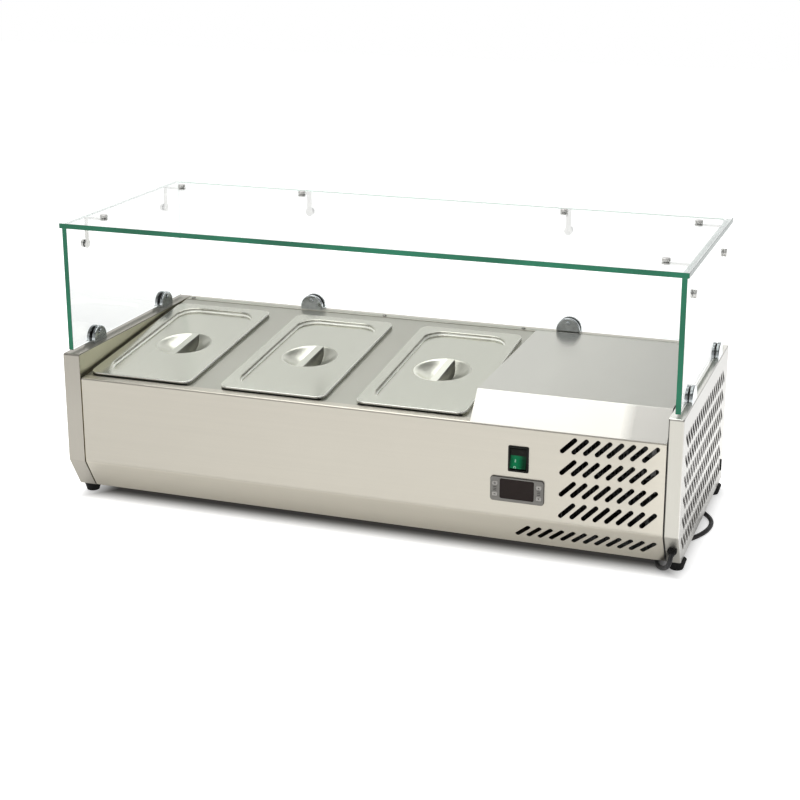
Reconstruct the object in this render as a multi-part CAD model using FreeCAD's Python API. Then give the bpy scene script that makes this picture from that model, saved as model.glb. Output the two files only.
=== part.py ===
import FreeCAD, Part
import math
import os

# Countertop refrigerated topping display: a sheet-metal cabinet with a sloped deck of lidded food pans,
# a machine space at the right and a glass guard that is open on the operator's side.
# Millimetres. X runs to the operator's right, Y from the operator's side to the rear, Z up.
# The origin is on the floor under the middle of the cabinet.

V = FreeCAD.Vector

# Sheet work and clearances
sheet = 1.2
seat_gap = 0.2
seam = 1.6
bend_inside = 2.6
front_bend = 2.2
chamfer_bend = 12.0
edge_round = 2.0
beyond = 2000.0

# Cabinet
foot_height = 15.0
front_height = 191.5
chamfer_height = 51.0
chamfer_setback = 30.0
front_recess = 1.0
left_end_thickness = 29.0
right_end_thickness = 22.0
end_corner = 3.5
machine_width = 292.0
return_flange = 18.0
front_flange = 14.0
rim_width = 26.0
rim_gap = 1.0
rim_step = 0.8

# Deck and food pans of the one-third size
deck_slope = 5.97
deck_tuck = 8.0
deck_under_cover = 24.0
pan_count = 3
pan_length = 325.0
pan_width = 176.0
pan_pitch = 226.0
pan_depth = 100.0
pan_rim = 12.0
pan_lip = 3.4
pan_wall = 1.0
pan_corner = 15.0
pan_rim_round = 1.0
pan_body_corner = 28.0
pan_draft = 5.0
pan_floor_round = 12.0
pan_hole_gap = 2.0
left_margin = 6.5
cover_margin = 12.5
front_margin = 17.0
rear_margin = 32.2

# Lids with a sunk panel and a round finger dish
lid_sheet = 1.2
lid_hem = 2.2
lid_inset = 0.3
lid_border = 19.0
lid_recess = 5.5
lid_corner = 32.0
lid_round = 2.0
lid_edge_round = 2.1
lid_rim_round = 0.9
dish_radius = 46.0
dish_depth = 17.0
dish_lip = 7.0
dish_rise = 0.15
bar_top = 13.0
bar_foot = 36.0
bar_round = 3.0
bar_hollow_reach = 32.0

# Machine cover
cover_rise = 2.0
cover_strip_depth = 37.5
cover_lap_y = 0.8
cover_lap_z = -0.3
cover_clear = 0.3

# Cold well
well_depth = 150.0
well_gap = 4.0
bulkhead_gap = 4.0
evaporator_radius = 4.75
evaporator_runs = 4
evaporator_pitch = 60.0
evaporator_rear = 100.0
evaporator_end_gap = 40.0
evaporator_stub = 12.0
tube_hole_gap = 1.2
pocket_gap = 3.0

# Glass guard
glass = 8.0
guard_height = 201.4
top_inset_x = 4.0
top_inset_front = 5.0
top_inset_rear = 1.0
pane_inset = 7.0
rear_pane_inset = 7.0
pane_front = 8.0
pane_gap = 2.0
pane_edge_round = 0.8

# Half-round glass clamps
clamp_width = 40.0
clamp_height = 25.0
clamp_base = 4.0
clamp_jaw = 5.0
clamp_pad = 1.0
clamp_pad_inset = 2.5
clamp_round = 1.4
clamp_screw_radius = 2.0
clamp_screw_gap = 0.2
clamp_head_radius = 4.0
clamp_head_height = 2.0
clamp_screw_drop = 9.0
clamp_front_y = 85.0
clamp_back_y = 320.0
clamp_rear_x = 229.0
clamp_rear_shift = 4.0

# Corner straps and buttons
strap = 2.0
strap_width = 8.0
strap_end_radius = 7.0
strap_reach = 33.0
strap_drop = 36.0
strap_front_y = 67.0
strap_back_y = 338.0
strap_rear_x = 228.0
button_radius = 6.2
button_height = 4.5
button_round = 0.8
button_shank_radius = 3.5
button_hole_gap = 0.4

# Vents
slot_length = 33.0
slot_width = 7.0
slot_angle = 45.0
side_slot_width = 8.6
side_slot_pitch = 17.1
front_vent_columns = 8
front_vent_rows = 4
front_vent_pitch = 33.4
front_vent_left = 149.0
front_vent_right = 23.3
front_vent_drop = 19.5
chamfer_vent_count = 12
chamfer_vent_left = 80.0
chamfer_vent_right = 23.9
side_vent_columns = 20
side_vent_rows = 6
side_vent_pitch = 31.5
side_vent_front = 34.0
side_vent_drop = 42.0
louvre_count = 4
louvre_height = 26.0
louvre_pitch = 42.0
louvre_first = 44.0
louvre_end_gap = 50.0

# Rocker switch
switch_left = 75.0
switch_drop = 49.0
switch_width = 31.0
switch_height = 40.0
switch_corner = 2.0
switch_proud = 2.0
switch_border = 1.6
switch_wall = 1.5
switch_depth = 22.0
switch_hole_gap = 0.4
rocker_side_gap = 0.5
rocker_end_gap = 1.8
rocker_pivot_depth = 5.0
rocker_front = 8.0
rocker_valley = 5.5
rocker_back = 4.0
rocker_rest_tilt = 10.0
rocker_pin_radius = 1.5
rocker_pin_reach = 0.9
rocker_pin_gap = 0.06

# Thermostat
control_left = 74.0
control_drop = 97.5
control_width = 81.5
control_height = 38.0
control_corner = 4.5
control_proud = 3.0
control_round = 1.0
control_body_width = 71.0
control_body_height = 29.0
control_body_depth = 50.0
control_hole_gap = 0.3
window_width = 52.0
window_height = 31.0
window_rise = 1.2
window_corner = 2.5
window_sunk = 0.6
window_gap = 0.2
key_width = 8.0
key_height = 6.0
key_corner = 1.5
key_gap = 0.3
key_proud = 0.6
key_travel = 0.6
key_stop_gap = 0.1
key_rise = 8.5

# Compressor
compressor_x = 108.0
compressor_y = 100.0
compressor_radius = 62.0
compressor_height = 150.0
compressor_dome = 24.0
compressor_round = 14.0
compressor_foot_radius = 36.0
compressor_foot_height = 4.0
compressor_seam = 3.0
compressor_seam_height = 4.0
base_plate_length = 160.0
base_plate_width = 130.0
base_plate_thickness = 3.0
base_plate_inset = 14.0
grommet_height = 14.0
grommet_radius = 9.0
grommet_neck = 5.0
grommet_gap = 0.3
grommet_cap = 4.0
terminal_depth = 26.0
terminal_width = 44.0
terminal_height = 52.0

# Condenser and fan
condenser_right_gap = 29.0
condenser_width = 132.0
condenser_front = 42.0
condenser_depth = 31.0
condenser_height = 184.0
condenser_foot = 13.0
fin = 0.5
fin_pitch = 6.0
condenser_tube_radius = 4.5
condenser_tube_gap = 0.15
condenser_runs = 6
condenser_run_pitch = 28.0
condenser_first_run = 28.0
condenser_lead = 10.0
fan_radius = 59.0
fan_tip_gap = 3.0
fan_ring_depth = 24.0
fan_hub_radius = 14.0
fan_hub_height = 16.0
fan_hub_start = 4.0
fan_blades = 5
fan_chord = 22.0
fan_blade_thickness = 1.6
fan_blade_angle = 28.0
fan_shaft_radius = 3.0
fan_shaft_gap = 0.05
fan_shaft_depth = 26.0
fan_bar_height = 18.0
fan_bar_thickness = 2.5
fan_bar_hole = 6.0
motor_radius = 30.0
motor_length = 42.0
motor_boss_radius = 12.0
motor_boss = 6.0

# Refrigerant lines and filter drier
line_radius = 3.0
suction_radius = 4.0
drier_radius = 9.5
drier_length = 80.0
drier_cone = 12.0
drier_x = 58.0
drier_inlet_gap = 32.0
line_bend_share = 0.45
suction_column = 26.0
suction_rise = 54.0
discharge_x = 88.0
discharge_drop = 35.0
discharge_y = 82.0
capillary_y = 25.0
capillary_x = 25.0

# Feet
foot_top_radius = 14.5
foot_bottom_radius = 10.0
foot_inset_left = 14.0
foot_inset_right = 9.0
foot_front_y = 47.0
foot_back_y = 366.0
foot_bore_radius = 2.8
foot_sink_radius = 5.6
foot_sink_depth = 7.0
foot_screw_radius = 2.5
foot_screw_head = 5.0
foot_screw_head_height = 3.2
foot_screw_top = 6.0

# Panel screws
screw_radius = 1.8
screw_hole_gap = 0.25
screw_head_radius = 3.6
screw_head_height = 2.0
screw_length = 8.0
rim_screw_front = 6.0
rim_screw_left = 13.0
rim_screw_middle = 376.0
rim_screw_right = 24.0
rear_screw_end = 28.0
rear_screw_edge = 24.0

# Mains cord, gland and plug
cord_radius = 3.6
gland_height = 25.2
gland_flange_radius = 7.0
gland_flange = 3.0
gland_neck_radius = 5.2
gland_neck_gap = 0.3
gland_inside = 11.0
gland_nose_radius = 5.6
gland_nose = 5.0
gland_lip = 1.0
coil_pitch = 7.8
coil_radius = 47.0
coil_half_turns = 4
coil_lift = 1.0
coil_layer = 7.8
coil_back = 56.0
coil_inwards = 134.0
coil_lead = 41.0
floor_gap = 0.15
coil_tail = 40.0
tie_thickness = 0.8
tie_width = 6.0
tie_gap = 0.3
plug_radius = 19.0
plug_round = 3.0
plug_collar_radius = 6.0
plug_collar = 14.0
pin_radius = 2.4
pin_length = 19.0
pin_spacing = 19.0

# Where the loose cord goes: distance in from the right side, share of the depth, lift off the floor
cord_stub = 5.8
cord_spots = [
    (11.9, 0.003, 23.45),
    (14.2, 0.0105, 16.65),
    (18.2, 0.027, 10.85),
    (23.2, 0.0475, 5.65),
    (29.2, 0.0712, 1.65),
    (35.2, 0.0985, 0.0),
    (40.2, 0.131, 0.0),
    (43.2, 0.167, 0.0),
    (42.8, 0.210, 0.0),
    (34.0, 0.275, 0.0),
    (17.0, 0.350, 0.0),
    (-3.0, 0.423, 0.0),
    (-14.0, 0.510, 0.0),
    (-12.0, 0.598, 0.0),
    (6.0, 0.668, 0.0),
    (32.0, 0.723, 0.0),
    (57.0, 0.783, 0.0),
    (75.0, 0.858, 0.0),
    (85.0, 0.945, 0.2),
]

# Rubber plug in the right side
side_plug_length = 20.0
side_plug_width = 7.0
side_plug_proud = 2.0
side_plug_lip = 1.0
side_plug_depth = 4.0
side_plug_rear = 21.5
side_plug_rise = 31.0

# Values worked out from the sizes above
slope = math.radians(deck_slope)
deck_length = front_margin + pan_length + rear_margin
pans_span = (pan_count - 1) * pan_pitch + pan_width
cabinet_depth = front_recess + deck_length * math.cos(slope) + rim_gap + rim_width
inside_width = left_margin + pans_span + cover_margin + machine_width
cabinet_width = left_end_thickness + inside_width + right_end_thickness
x_left = -cabinet_width / 2
x_right = cabinet_width / 2
x_left_in = x_left + left_end_thickness
x_right_in = x_right - right_end_thickness
cover_left = x_right_in - machine_width
y_front = -cabinet_depth / 2
y_rear = cabinet_depth / 2
y_panel = y_front + front_recess
z_under = foot_height
z_chamfer = z_under + chamfer_height
floor_top = z_under + 2 * sheet
front_top = z_under + front_height
cabinet_top = front_top - sheet + deck_length * math.sin(slope) + rim_step
deck_top = -sheet
deck_under = -2 * sheet
rim_top = deck_top + pan_lip
guard_under = cabinet_top + guard_height


def pan_places():
    """Centre of each pan across the deck and along its slope."""
    first = x_left_in + left_margin + pan_width / 2
    along = front_margin + pan_length / 2
    return [(first + i * pan_pitch, along) for i in range(pan_count)]


# Basic shapes
def box(x0, x1, y0, y1, z0, z1):
    return Part.makeBox(x1 - x0, y1 - y0, z1 - z0, V(x0, y0, z0))


def rod(start, direction, length, radius):
    return Part.makeCylinder(radius, length, start, direction)


def unit(vector):
    return V(vector).normalize()


def rounded_outline(points, radii):
    """Closed wire through corner points, with each corner rounded by its own radius."""
    count = len(points)
    stretches = []
    for i in range(count):
        corner = points[i]
        radius = radii[i]
        if radius <= 0:
            stretches.append((corner, None, corner))
            continue
        back = unit(points[i - 1] - corner)
        ahead = unit(points[(i + 1) % count] - corner)
        half = back.getAngle(ahead) / 2
        reach = radius / math.tan(half)
        middle = corner + unit(back + ahead) * (radius / math.sin(half) - radius)
        stretches.append((corner + back * reach, middle, corner + ahead * reach))
    edges = []
    for i in range(count):
        start, middle, end = stretches[i]
        if middle is not None:
            edges.append(Part.Arc(start, middle, end).toShape())
        following = stretches[(i + 1) % count][0]
        if (following - end).Length > 1e-6:
            edges.append(Part.LineSegment(end, following).toShape())
    return Part.Wire(edges)


def face_of(outline, holes=()):
    return Part.makeFace([outline] + list(holes), "Part::FaceMakerBullseye")


def prism_x(points, radii, x0, x1):
    """Solid of a (y, z) outline, drawn out along X."""
    outline = rounded_outline([V(x0, y, z) for y, z in points], radii)
    return face_of(outline).extrude(V(x1 - x0, 0, 0))


def prism_y(points, radii, y0, y1):
    """Solid of an (x, z) outline, drawn out along Y."""
    outline = rounded_outline([V(x, y0, z) for x, z in points], radii)
    return face_of(outline).extrude(V(0, y1 - y0, 0))


def rectangle(x0, x1, z0, z1):
    return [(x0, z0), (x1, z0), (x1, z1), (x0, z1)]


def slab(x, y, width, length, corner, z0, z1):
    """Flat block with rounded corners, centred on a point."""
    return face_of(rounded_rect(x, y, width, length, corner, z0)).extrude(V(0, 0, z1 - z0))


def rounded_rect(x, y, width, length, corner, z):
    half_x = width / 2
    half_y = length / 2
    corners = [V(x - half_x, y - half_y, z), V(x + half_x, y - half_y, z)]
    corners += [V(x + half_x, y + half_y, z), V(x - half_x, y + half_y, z)]
    return rounded_outline(corners, [corner] * 4)


def inset(points, distance):
    """Outline of (y, z) points, listed anticlockwise, moved inwards."""
    count = len(points)
    moved = []
    for i in range(count):
        before = line_normal(points[i - 1], points[i])
        after = line_normal(points[i], points[(i + 1) % count])
        scale = distance / (1 + before[0] * after[0] + before[1] * after[1])
        y, z = points[i]
        moved.append((y + (before[0] + after[0]) * scale, z + (before[1] + after[1]) * scale))
    return moved


def line_normal(start, end):
    """Unit vector to the left of a (y, z) line."""
    run = (end[0] - start[0], end[1] - start[1])
    length = math.hypot(*run)
    return (-run[1] / length, run[0] / length)


def folded_sheet(points, thickness, bends, x0, x1):
    """Sheet that follows a line of (y, z) points, its thickness to the left, with an inside radius per bend."""
    normals = [line_normal(a, b) for a, b in zip(points, points[1:])]
    other = [shifted(points[0], normals[0], thickness)]
    line_radii = [0.0]
    other_radii = [0.0]
    for i in range(1, len(points) - 1):
        before = normals[i - 1]
        after = normals[i]
        scale = thickness / (1 + before[0] * after[0] + before[1] * after[1])
        other.append(shifted(points[i], (before[0] + after[0], before[1] + after[1]), scale))
        turns_left = before[0] * after[1] - before[1] * after[0] > 0
        bend = bends[i - 1]
        line_radii.append(bend + thickness if turns_left else bend)
        other_radii.append(bend if turns_left else bend + thickness)
    other.append(shifted(points[-1], normals[-1], thickness))
    outline = list(points) + other[::-1]
    radii = line_radii + [0.0] + [0.0] + other_radii[::-1]
    return prism_x(outline, radii, x0, x1)


def shifted(point, direction, distance):
    return (point[0] + direction[0] * distance, point[1] + direction[1] * distance)


def slot_outline(centre, along, across, length, width):
    """Outline of a slot with round ends."""
    reach = along * ((length - width) / 2)
    side = across * (width / 2)
    tip = along * (width / 2)
    far = centre + reach
    near = centre - reach
    edges = [Part.LineSegment(near + side, far + side).toShape()]
    edges.append(Part.Arc(far + side, far + tip, far - side).toShape())
    edges.append(Part.LineSegment(far - side, near - side).toShape())
    edges.append(Part.Arc(near - side, near - tip, near + side).toShape())
    return Part.Wire(edges)


def slot_cutter(centre, level, rise, normal, width):
    """Slanted slot, cut both ways from a point on a sheet."""
    turn = math.radians(slot_angle)
    along = level * math.cos(turn) + rise * math.sin(turn)
    across = unit(normal.cross(along))
    depth = 4 * sheet
    outline = slot_outline(centre - normal * depth, along, across, slot_length, width)
    return face_of(outline).extrude(normal * (2 * depth))


def edges_where(shape, test):
    """Edges whose end points, and middle, all meet the test."""
    chosen = []
    for edge in shape.Edges:
        middle = edge.valueAt((edge.FirstParameter + edge.LastParameter) / 2)
        spots = [vertex.Point for vertex in edge.Vertexes] + [middle]
        if all(test(spot) for spot in spots):
            chosen.append(edge)
    return chosen


def at(value, wanted):
    return abs(value - wanted) < 1e-4


def on_deck(shape):
    """Move a shape from the deck's own frame, with its front edge at zero, to the cabinet."""
    moved = shape.copy()
    moved.rotate(V(0, 0, 0), V(1, 0, 0), deck_slope)
    moved.translate(V(0, y_panel, front_top))
    return moved


def turned_to(shape, turn, x, y, z):
    """Turn a shape about the upright axis and set it at a point."""
    moved = shape.copy()
    moved.rotate(V(0, 0, 0), V(0, 0, 1), turn)
    moved.translate(V(x, y, z))
    return moved


def above_deck(level):
    """Everything over a plane parallel to the deck."""
    return on_deck(box(-beyond, beyond, -beyond, beyond, level, beyond))


# Tubes along straight runs and tangent arcs
def rounded_path(points):
    """Edges along a route, with each corner as round as its two runs allow, and the radii."""
    edges = []
    radii = []
    here = points[0]
    for i in range(1, len(points) - 1):
        corner = points[i]
        back = points[i - 1] - corner
        ahead = points[i + 1] - corner
        reach = line_bend_share * min(back.Length, ahead.Length)
        back = unit(back)
        ahead = unit(ahead)
        half = back.getAngle(ahead) / 2
        radius = reach * math.tan(half)
        start = corner + back * reach
        end = corner + ahead * reach
        middle = corner + unit(back + ahead) * (radius / math.sin(half) - radius)
        edges.append(Part.LineSegment(here, start).toShape())
        edges.append(Part.Arc(start, middle, end).toShape())
        radii.append(radius)
        here = end
    edges.append(Part.LineSegment(here, points[-1]).toShape())
    return edges, radii


def tube_on(edges, radius):
    """Round solid that follows a run of edges."""
    first = edges[0]
    start = first.valueAt(first.FirstParameter)
    tangent = first.tangentAt(first.FirstParameter)
    ring = Part.Wire([Part.makeCircle(radius, start, tangent)])
    return Part.Wire(edges).makePipeShell([ring], True, False)


def tube_through(points, radius):
    edges, radii = rounded_path(points)
    return tube_on(edges, radius)


def serpentine(start, run, step, count, lead):
    """Parallel runs joined by half-round bends, with both free ends on the starting side."""
    along = unit(run)
    edges = []
    for k in range(count):
        near = start + step * k
        far = near + run
        if k == 0:
            near = near - along * lead
        if k == count - 1:
            near = near - along * lead
        first, last = (near, far) if k % 2 == 0 else (far, near)
        edges.append(Part.LineSegment(first, last).toShape())
        if k < count - 1:
            outwards = along if k % 2 == 0 else along * -1
            bend = last + step * 0.5 + outwards * (step.Length / 2)
            edges.append(Part.Arc(last, bend, last + step).toShape())
    return edges


# Cabinet shells
def end_profile():
    """Side outline of an end panel, anticlockwise in (y, z)."""
    points = [(y_front + chamfer_setback, z_under), (y_rear, z_under), (y_rear, cabinet_top)]
    return points + [(y_front, cabinet_top), (y_front, z_chamfer)]


def inner_profile():
    """Outline of the space inside the front panel, the rear panel and the base plate."""
    points = [(y_panel + chamfer_setback, z_under + sheet), (y_rear, z_under + sheet), (y_rear, cabinet_top)]
    points += [(y_panel, cabinet_top), (y_panel, z_chamfer)]
    return inset(points, sheet + seat_gap)


def inner_corners():
    """Radius at each corner of that space, clear of the panels' bends."""
    plain = bend_inside + sheet
    return [plain, plain, plain, plain, chamfer_bend + sheet]


def end_shell(x_outer, x_inner):
    """Folded end panel, open towards the cabinet."""
    inwards = math.copysign(1.0, x_inner - x_outer)
    profile = end_profile()
    corners = [end_corner] * len(profile)
    outer = prism_x(profile, corners, x_outer, x_inner)
    outer = outer.makeFillet(edge_round, edges_where(outer, lambda p: at(p.x, x_outer)))
    tight = [end_corner - sheet] * len(profile)
    hollow = prism_x(inset(profile, sheet), tight, x_outer + inwards * sheet, x_inner + inwards * sheet)
    return outer.cut(hollow)


def end_inner_plate(x_face, inwards):
    """Plate that closes an end panel on the cabinet's side."""
    profile = inset(end_profile(), sheet + seat_gap)
    return prism_x(profile, [end_corner - sheet] * len(profile), x_face - inwards * sheet, x_face)


def foot_places():
    places = []
    for x in (x_left + foot_inset_left, x_right - foot_inset_right):
        for y in (foot_front_y, foot_back_y):
            places.append(V(x, y_front + y, 0))
    return places


def foot_screw_holes():
    radius = foot_screw_radius + seat_gap
    return [rod(p + V(0, 0, z_under - sheet), V(0, 0, 1), 3 * sheet, radius) for p in foot_places()]


def chamfer_normal():
    """Outward direction of the lower front chamfer."""
    return unit(V(0, -chamfer_height, -chamfer_setback))


def gland_place():
    """Middle of the cord's gland, on the right end panel's chamfer."""
    share = (z_chamfer - (z_under + gland_height)) / chamfer_height
    x = x_right - right_end_thickness / 2
    return V(x, y_front + share * chamfer_setback, z_under + gland_height)


def side_vents():
    cutters = []
    for row in range(side_vent_rows):
        for column in range(side_vent_columns):
            y = y_front + side_vent_front + column * side_slot_pitch
            z = cabinet_top - side_vent_drop - row * side_vent_pitch
            cutters.append(slot_cutter(V(x_right, y, z), V(0, -1, 0), V(0, 0, 1), V(1, 0, 0), side_slot_width))
    return cutters


def side_plug_place():
    return V(x_right, y_rear - side_plug_rear, z_under + side_plug_rise)


def side_plug_block(x0, x1, trim):
    """Upright slot-shaped block at the side plug, trimmed all round."""
    place = side_plug_place()
    length = side_plug_length - 2 * trim
    width = side_plug_width - 2 * trim
    outline = slot_outline(V(x0, place.y, place.z), V(0, 0, 1), V(0, 1, 0), length, width)
    return face_of(outline).extrude(V(x1 - x0, 0, 0))


def side_plug():
    cap = side_plug_block(x_right, x_right + side_plug_proud, 0)
    outer = edges_where(cap, lambda p: at(p.x, x_right + side_plug_proud))
    cap = cap.makeFillet(side_plug_proud / 2, outer)
    return cap.fuse(side_plug_block(x_right - side_plug_depth, x_right, side_plug_lip))


def left_end_shell():
    return end_shell(x_left, x_left_in).cut(foot_screw_holes())


def right_end_shell():
    normal = chamfer_normal()
    gland_hole = rod(gland_place() - normal * 3 * sheet, normal, 6 * sheet, gland_neck_radius + gland_neck_gap)
    shell = end_shell(x_right, x_right_in).cut(foot_screw_holes() + [gland_hole])
    plug_hole = side_plug_block(x_right - side_plug_depth, x_right + sheet, side_plug_lip - seat_gap)
    return shell.cut(side_vents() + [plug_hole])


def right_inner_plate():
    """Inner plate of the right end, with openings for the machine's warm air."""
    plate = end_inner_plate(x_right_in, -1)
    openings = []
    for i in range(louvre_count):
        z = z_under + louvre_first + i * louvre_pitch
        across = rectangle(y_front + louvre_end_gap, y_rear - louvre_end_gap, z, z + louvre_height)
        openings.append(prism_x(across, [0] * 4, x_right_in - 2 * sheet, x_right_in + 2 * sheet))
    return plate.cut(openings)


def base_plate():
    front = y_panel + chamfer_setback + sheet + bend_inside
    rear = y_rear - sheet - bend_inside - seat_gap
    return box(x_left_in + seat_gap, x_right_in - seat_gap, front, rear, z_under + sheet, floor_top)


def front_panel():
    """Folded front: flange over the deck's edge, round top bend, face, chamfer and lower return."""
    rise = (front_flange * math.cos(slope), front_flange * math.sin(slope))
    chamfer_end = (y_panel + chamfer_setback, z_under)
    line = [(y_panel + rise[0], front_top + rise[1]), (y_panel, front_top), (y_panel, z_chamfer)]
    line += [chamfer_end, (chamfer_end[0] + return_flange, z_under)]
    bends = [front_bend, chamfer_bend, bend_inside]
    panel = folded_sheet(line, sheet, bends, x_left_in + seam, x_right_in - seam)
    switch_room = (switch_width - 2 * switch_border, switch_height - 2 * switch_border)
    switch_hole = opening_cutter(switch_spot(), *switch_room)
    control_hole = opening_cutter(control_spot(), control_body_width, control_body_height)
    return panel.cut(front_vents() + chamfer_vents() + [switch_hole, control_hole])


def opening_cutter(spot, width, height):
    x, z = spot
    half_x = width / 2 + switch_hole_gap
    half_z = height / 2 + switch_hole_gap
    outline = rectangle(x - half_x, x + half_x, z - half_z, z + half_z)
    return prism_y(outline, [0] * 4, y_panel - sheet, y_panel + 3 * sheet)


def front_vents():
    step = (machine_width - front_vent_left - front_vent_right) / (front_vent_columns - 1)
    cutters = []
    for row in range(front_vent_rows):
        for column in range(front_vent_columns):
            x = cover_left + front_vent_left + column * step
            z = front_top - front_vent_drop - row * front_vent_pitch
            cutters.append(slot_cutter(V(x, y_panel, z), V(1, 0, 0), V(0, 0, 1), V(0, -1, 0), slot_width))
    return cutters


def chamfer_vents():
    normal = chamfer_normal()
    up_slope = unit(V(0, -chamfer_setback, chamfer_height))
    middle = V(0, y_panel + chamfer_setback / 2, z_under + chamfer_height / 2)
    step = (machine_width - chamfer_vent_left - chamfer_vent_right) / (chamfer_vent_count - 1)
    cutters = []
    for column in range(chamfer_vent_count):
        x = cover_left + chamfer_vent_left + column * step
        cutters.append(slot_cutter(V(x, middle.y, middle.z), V(1, 0, 0), up_slope, normal, slot_width))
    return cutters


def rim_screw_places():
    y = y_rear - rim_width + rim_screw_front
    spots = (x_left_in + rim_screw_left, x_left_in + rim_screw_middle, cover_left - rim_screw_right)
    return [V(x, y, cabinet_top) for x in spots]


def rear_screw_places():
    left = x_left_in + rear_screw_end
    divide = cover_left - rear_screw_end
    places = []
    for x in (left, (left + divide) / 2, divide, x_right_in - rear_screw_end):
        for z in (z_under + rear_screw_edge, cabinet_top - rear_screw_edge):
            places.append(V(x, y_rear, z))
    return places


def rear_panel():
    """Folded rear: level rim that carries the glass, back face and lower return."""
    line = [(y_rear - return_flange, z_under), (y_rear, z_under), (y_rear, cabinet_top)]
    line.append((y_rear - rim_width, cabinet_top))
    panel = folded_sheet(line, sheet, [bend_inside] * 2, x_left_in + seam, x_right_in - seam)
    radius = screw_radius + screw_hole_gap
    holes = [rod(p - V(0, 0, 2 * sheet), V(0, 0, 1), 3 * sheet, radius) for p in rim_screw_places()]
    holes += [rod(p - V(0, 2 * sheet, 0), V(0, 1, 0), 3 * sheet, radius) for p in rear_screw_places()]
    return panel.cut(holes)


def screw_spots():
    """Place and outward direction of every panel screw."""
    rim = [(place, V(0, 0, 1)) for place in rim_screw_places()]
    return rim + [(place, V(0, 1, 0)) for place in rear_screw_places()]


def screw_pilots():
    """Cutters that leave room for the panel screws' ends."""
    length = screw_length + sheet
    radius = screw_radius + screw_hole_gap
    return [rod(place, outwards * -1, length, radius) for place, outwards in screw_spots()]


def panel_screws():
    screws = []
    for place, outwards in screw_spots():
        head = rod(place, outwards, screw_head_height, screw_head_radius)
        top = place + outwards * screw_head_height
        rim = edges_where(head, lambda p: at((p - top).dot(outwards), 0))
        head = head.makeFillet(screw_head_height / 2, rim)
        screws.append(head.fuse(rod(place, outwards * -1, screw_length, screw_radius)))
    return screws


def deck():
    """Sloped sheet with a cut-out for each pan."""
    plate = box(x_left_in + seam, cover_left + deck_under_cover, deck_tuck, deck_length, deck_under, deck_top)
    width = pan_width - 2 * pan_rim + 2 * pan_hole_gap
    length = pan_length - 2 * pan_rim + 2 * pan_hole_gap
    corner = pan_body_corner + pan_hole_gap
    holes = [slab(x, u, width, length, corner, deck_under - sheet, deck_top + sheet) for x, u in pan_places()]
    return on_deck(plate.cut(holes))


def machine_cover():
    """Folded cover: level top, sloping front strip and a left skirt that stands on the deck."""
    top = cabinet_top + cover_rise
    bend_y = y_panel + cover_strip_depth
    rear = y_rear - rim_width - rim_gap
    lap = (y_panel + cover_lap_y, front_top + cover_lap_z)
    lift = cover_clear / math.cos(slope)
    bend_end = front_bend + sheet
    low_front = (y_panel + bend_end, front_top + bend_end * math.tan(slope) + lift)
    low_rear = (rear, front_top + (rear - y_panel) * math.tan(slope) + lift)
    outline = [low_front, low_rear, (rear, top), (bend_y, top), lap]
    outer = prism_x(outline, [0, 0, 0, bend_inside + sheet, 0], cover_left, x_right_in - seam)
    low = lap[1] - top
    far = rear + top
    inside = inset([(lap[0], low), (far, low), (far, top), (bend_y, top), lap], sheet)
    hollow = prism_x(inside, [0, 0, 0, bend_inside, 0], cover_left + sheet, x_right_in + sheet)
    return outer.cut(hollow)


# Cold well
def well_bounds():
    """Inside of the well liner: left, right, front, rear and floor."""
    places = pan_places()
    half = pan_width / 2 - pan_rim + well_gap
    front = y_panel + (front_margin + pan_rim) * math.cos(slope) - well_gap
    along = front_margin + pan_length - pan_rim
    rear = y_panel + along * math.cos(slope) + pan_depth * math.sin(slope) + well_gap
    return places[0][0] - half, places[-1][0] + half, front, rear, front_top - well_depth


def well_block(grow):
    """Solid block of the well, grown on its sides and floor."""
    left, right, front, rear, floor = well_bounds()
    return box(left - grow, right + grow, front - grow, rear + grow, floor - grow, cabinet_top)


def well_liner():
    left, right, front, rear, floor = well_bounds()
    return well_block(sheet).cut(well_block(0)).cut(above_deck(deck_under - seat_gap))


def top_bend_room():
    """Space behind the front panel's top bend, kept clear of the parts inside."""
    reach = front_bend + sheet + seat_gap
    return box(x_left, x_right, y_panel, y_panel + reach, front_top - reach, cabinet_top)


def bulkhead_x():
    return cover_left - bulkhead_gap


def evaporator_line():
    """First run's start, run, step and axis height of the evaporator under the well's floor."""
    left, right, front, rear, floor = well_bounds()
    z = floor - sheet - seat_gap - evaporator_radius
    start = V(right - evaporator_end_gap, evaporator_rear, z)
    run = V(left + 2 * evaporator_end_gap - right, 0, 0)
    return start, run, V(0, -evaporator_pitch, 0)


def evaporator_ends():
    """The two free ends in the machine space: suction at the rear, capillary towards the front."""
    start, run, step = evaporator_line()
    x = bulkhead_x() + sheet + evaporator_stub
    return V(x, start.y, start.z), V(x, start.y + step.y * (evaporator_runs - 1), start.z)


def evaporator_coil():
    start, run, step = evaporator_line()
    lead = evaporator_ends()[0].x - start.x
    return tube_on(serpentine(start, run, step, evaporator_runs, lead), evaporator_radius)


def evaporator_pocket():
    """Room left in the foam for the evaporator and for its two ends."""
    start, run, step = evaporator_line()
    room = evaporator_radius + pocket_gap
    reach = evaporator_pitch / 2 + room
    last_y = start.y + step.y * (evaporator_runs - 1)
    low = V(start.x + run.x - reach, last_y - room, start.z - room)
    high = V(start.x + reach, start.y + room, start.z + room)
    pocket = box(low.x, high.x, low.y, high.y, low.z, high.z)
    channels = [rod(V(start.x, end.y, end.z), V(1, 0, 0), beyond, room) for end in evaporator_ends()]
    return [pocket] + channels


def foam_block():
    profile = inner_profile()
    block = prism_x(profile, inner_corners(), x_left_in + seat_gap, bulkhead_x() - seat_gap)
    block = block.cut([above_deck(deck_under - seat_gap), well_block(sheet + seat_gap), top_bend_room()])
    return block.cut(evaporator_pocket() + screw_pilots())


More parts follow.
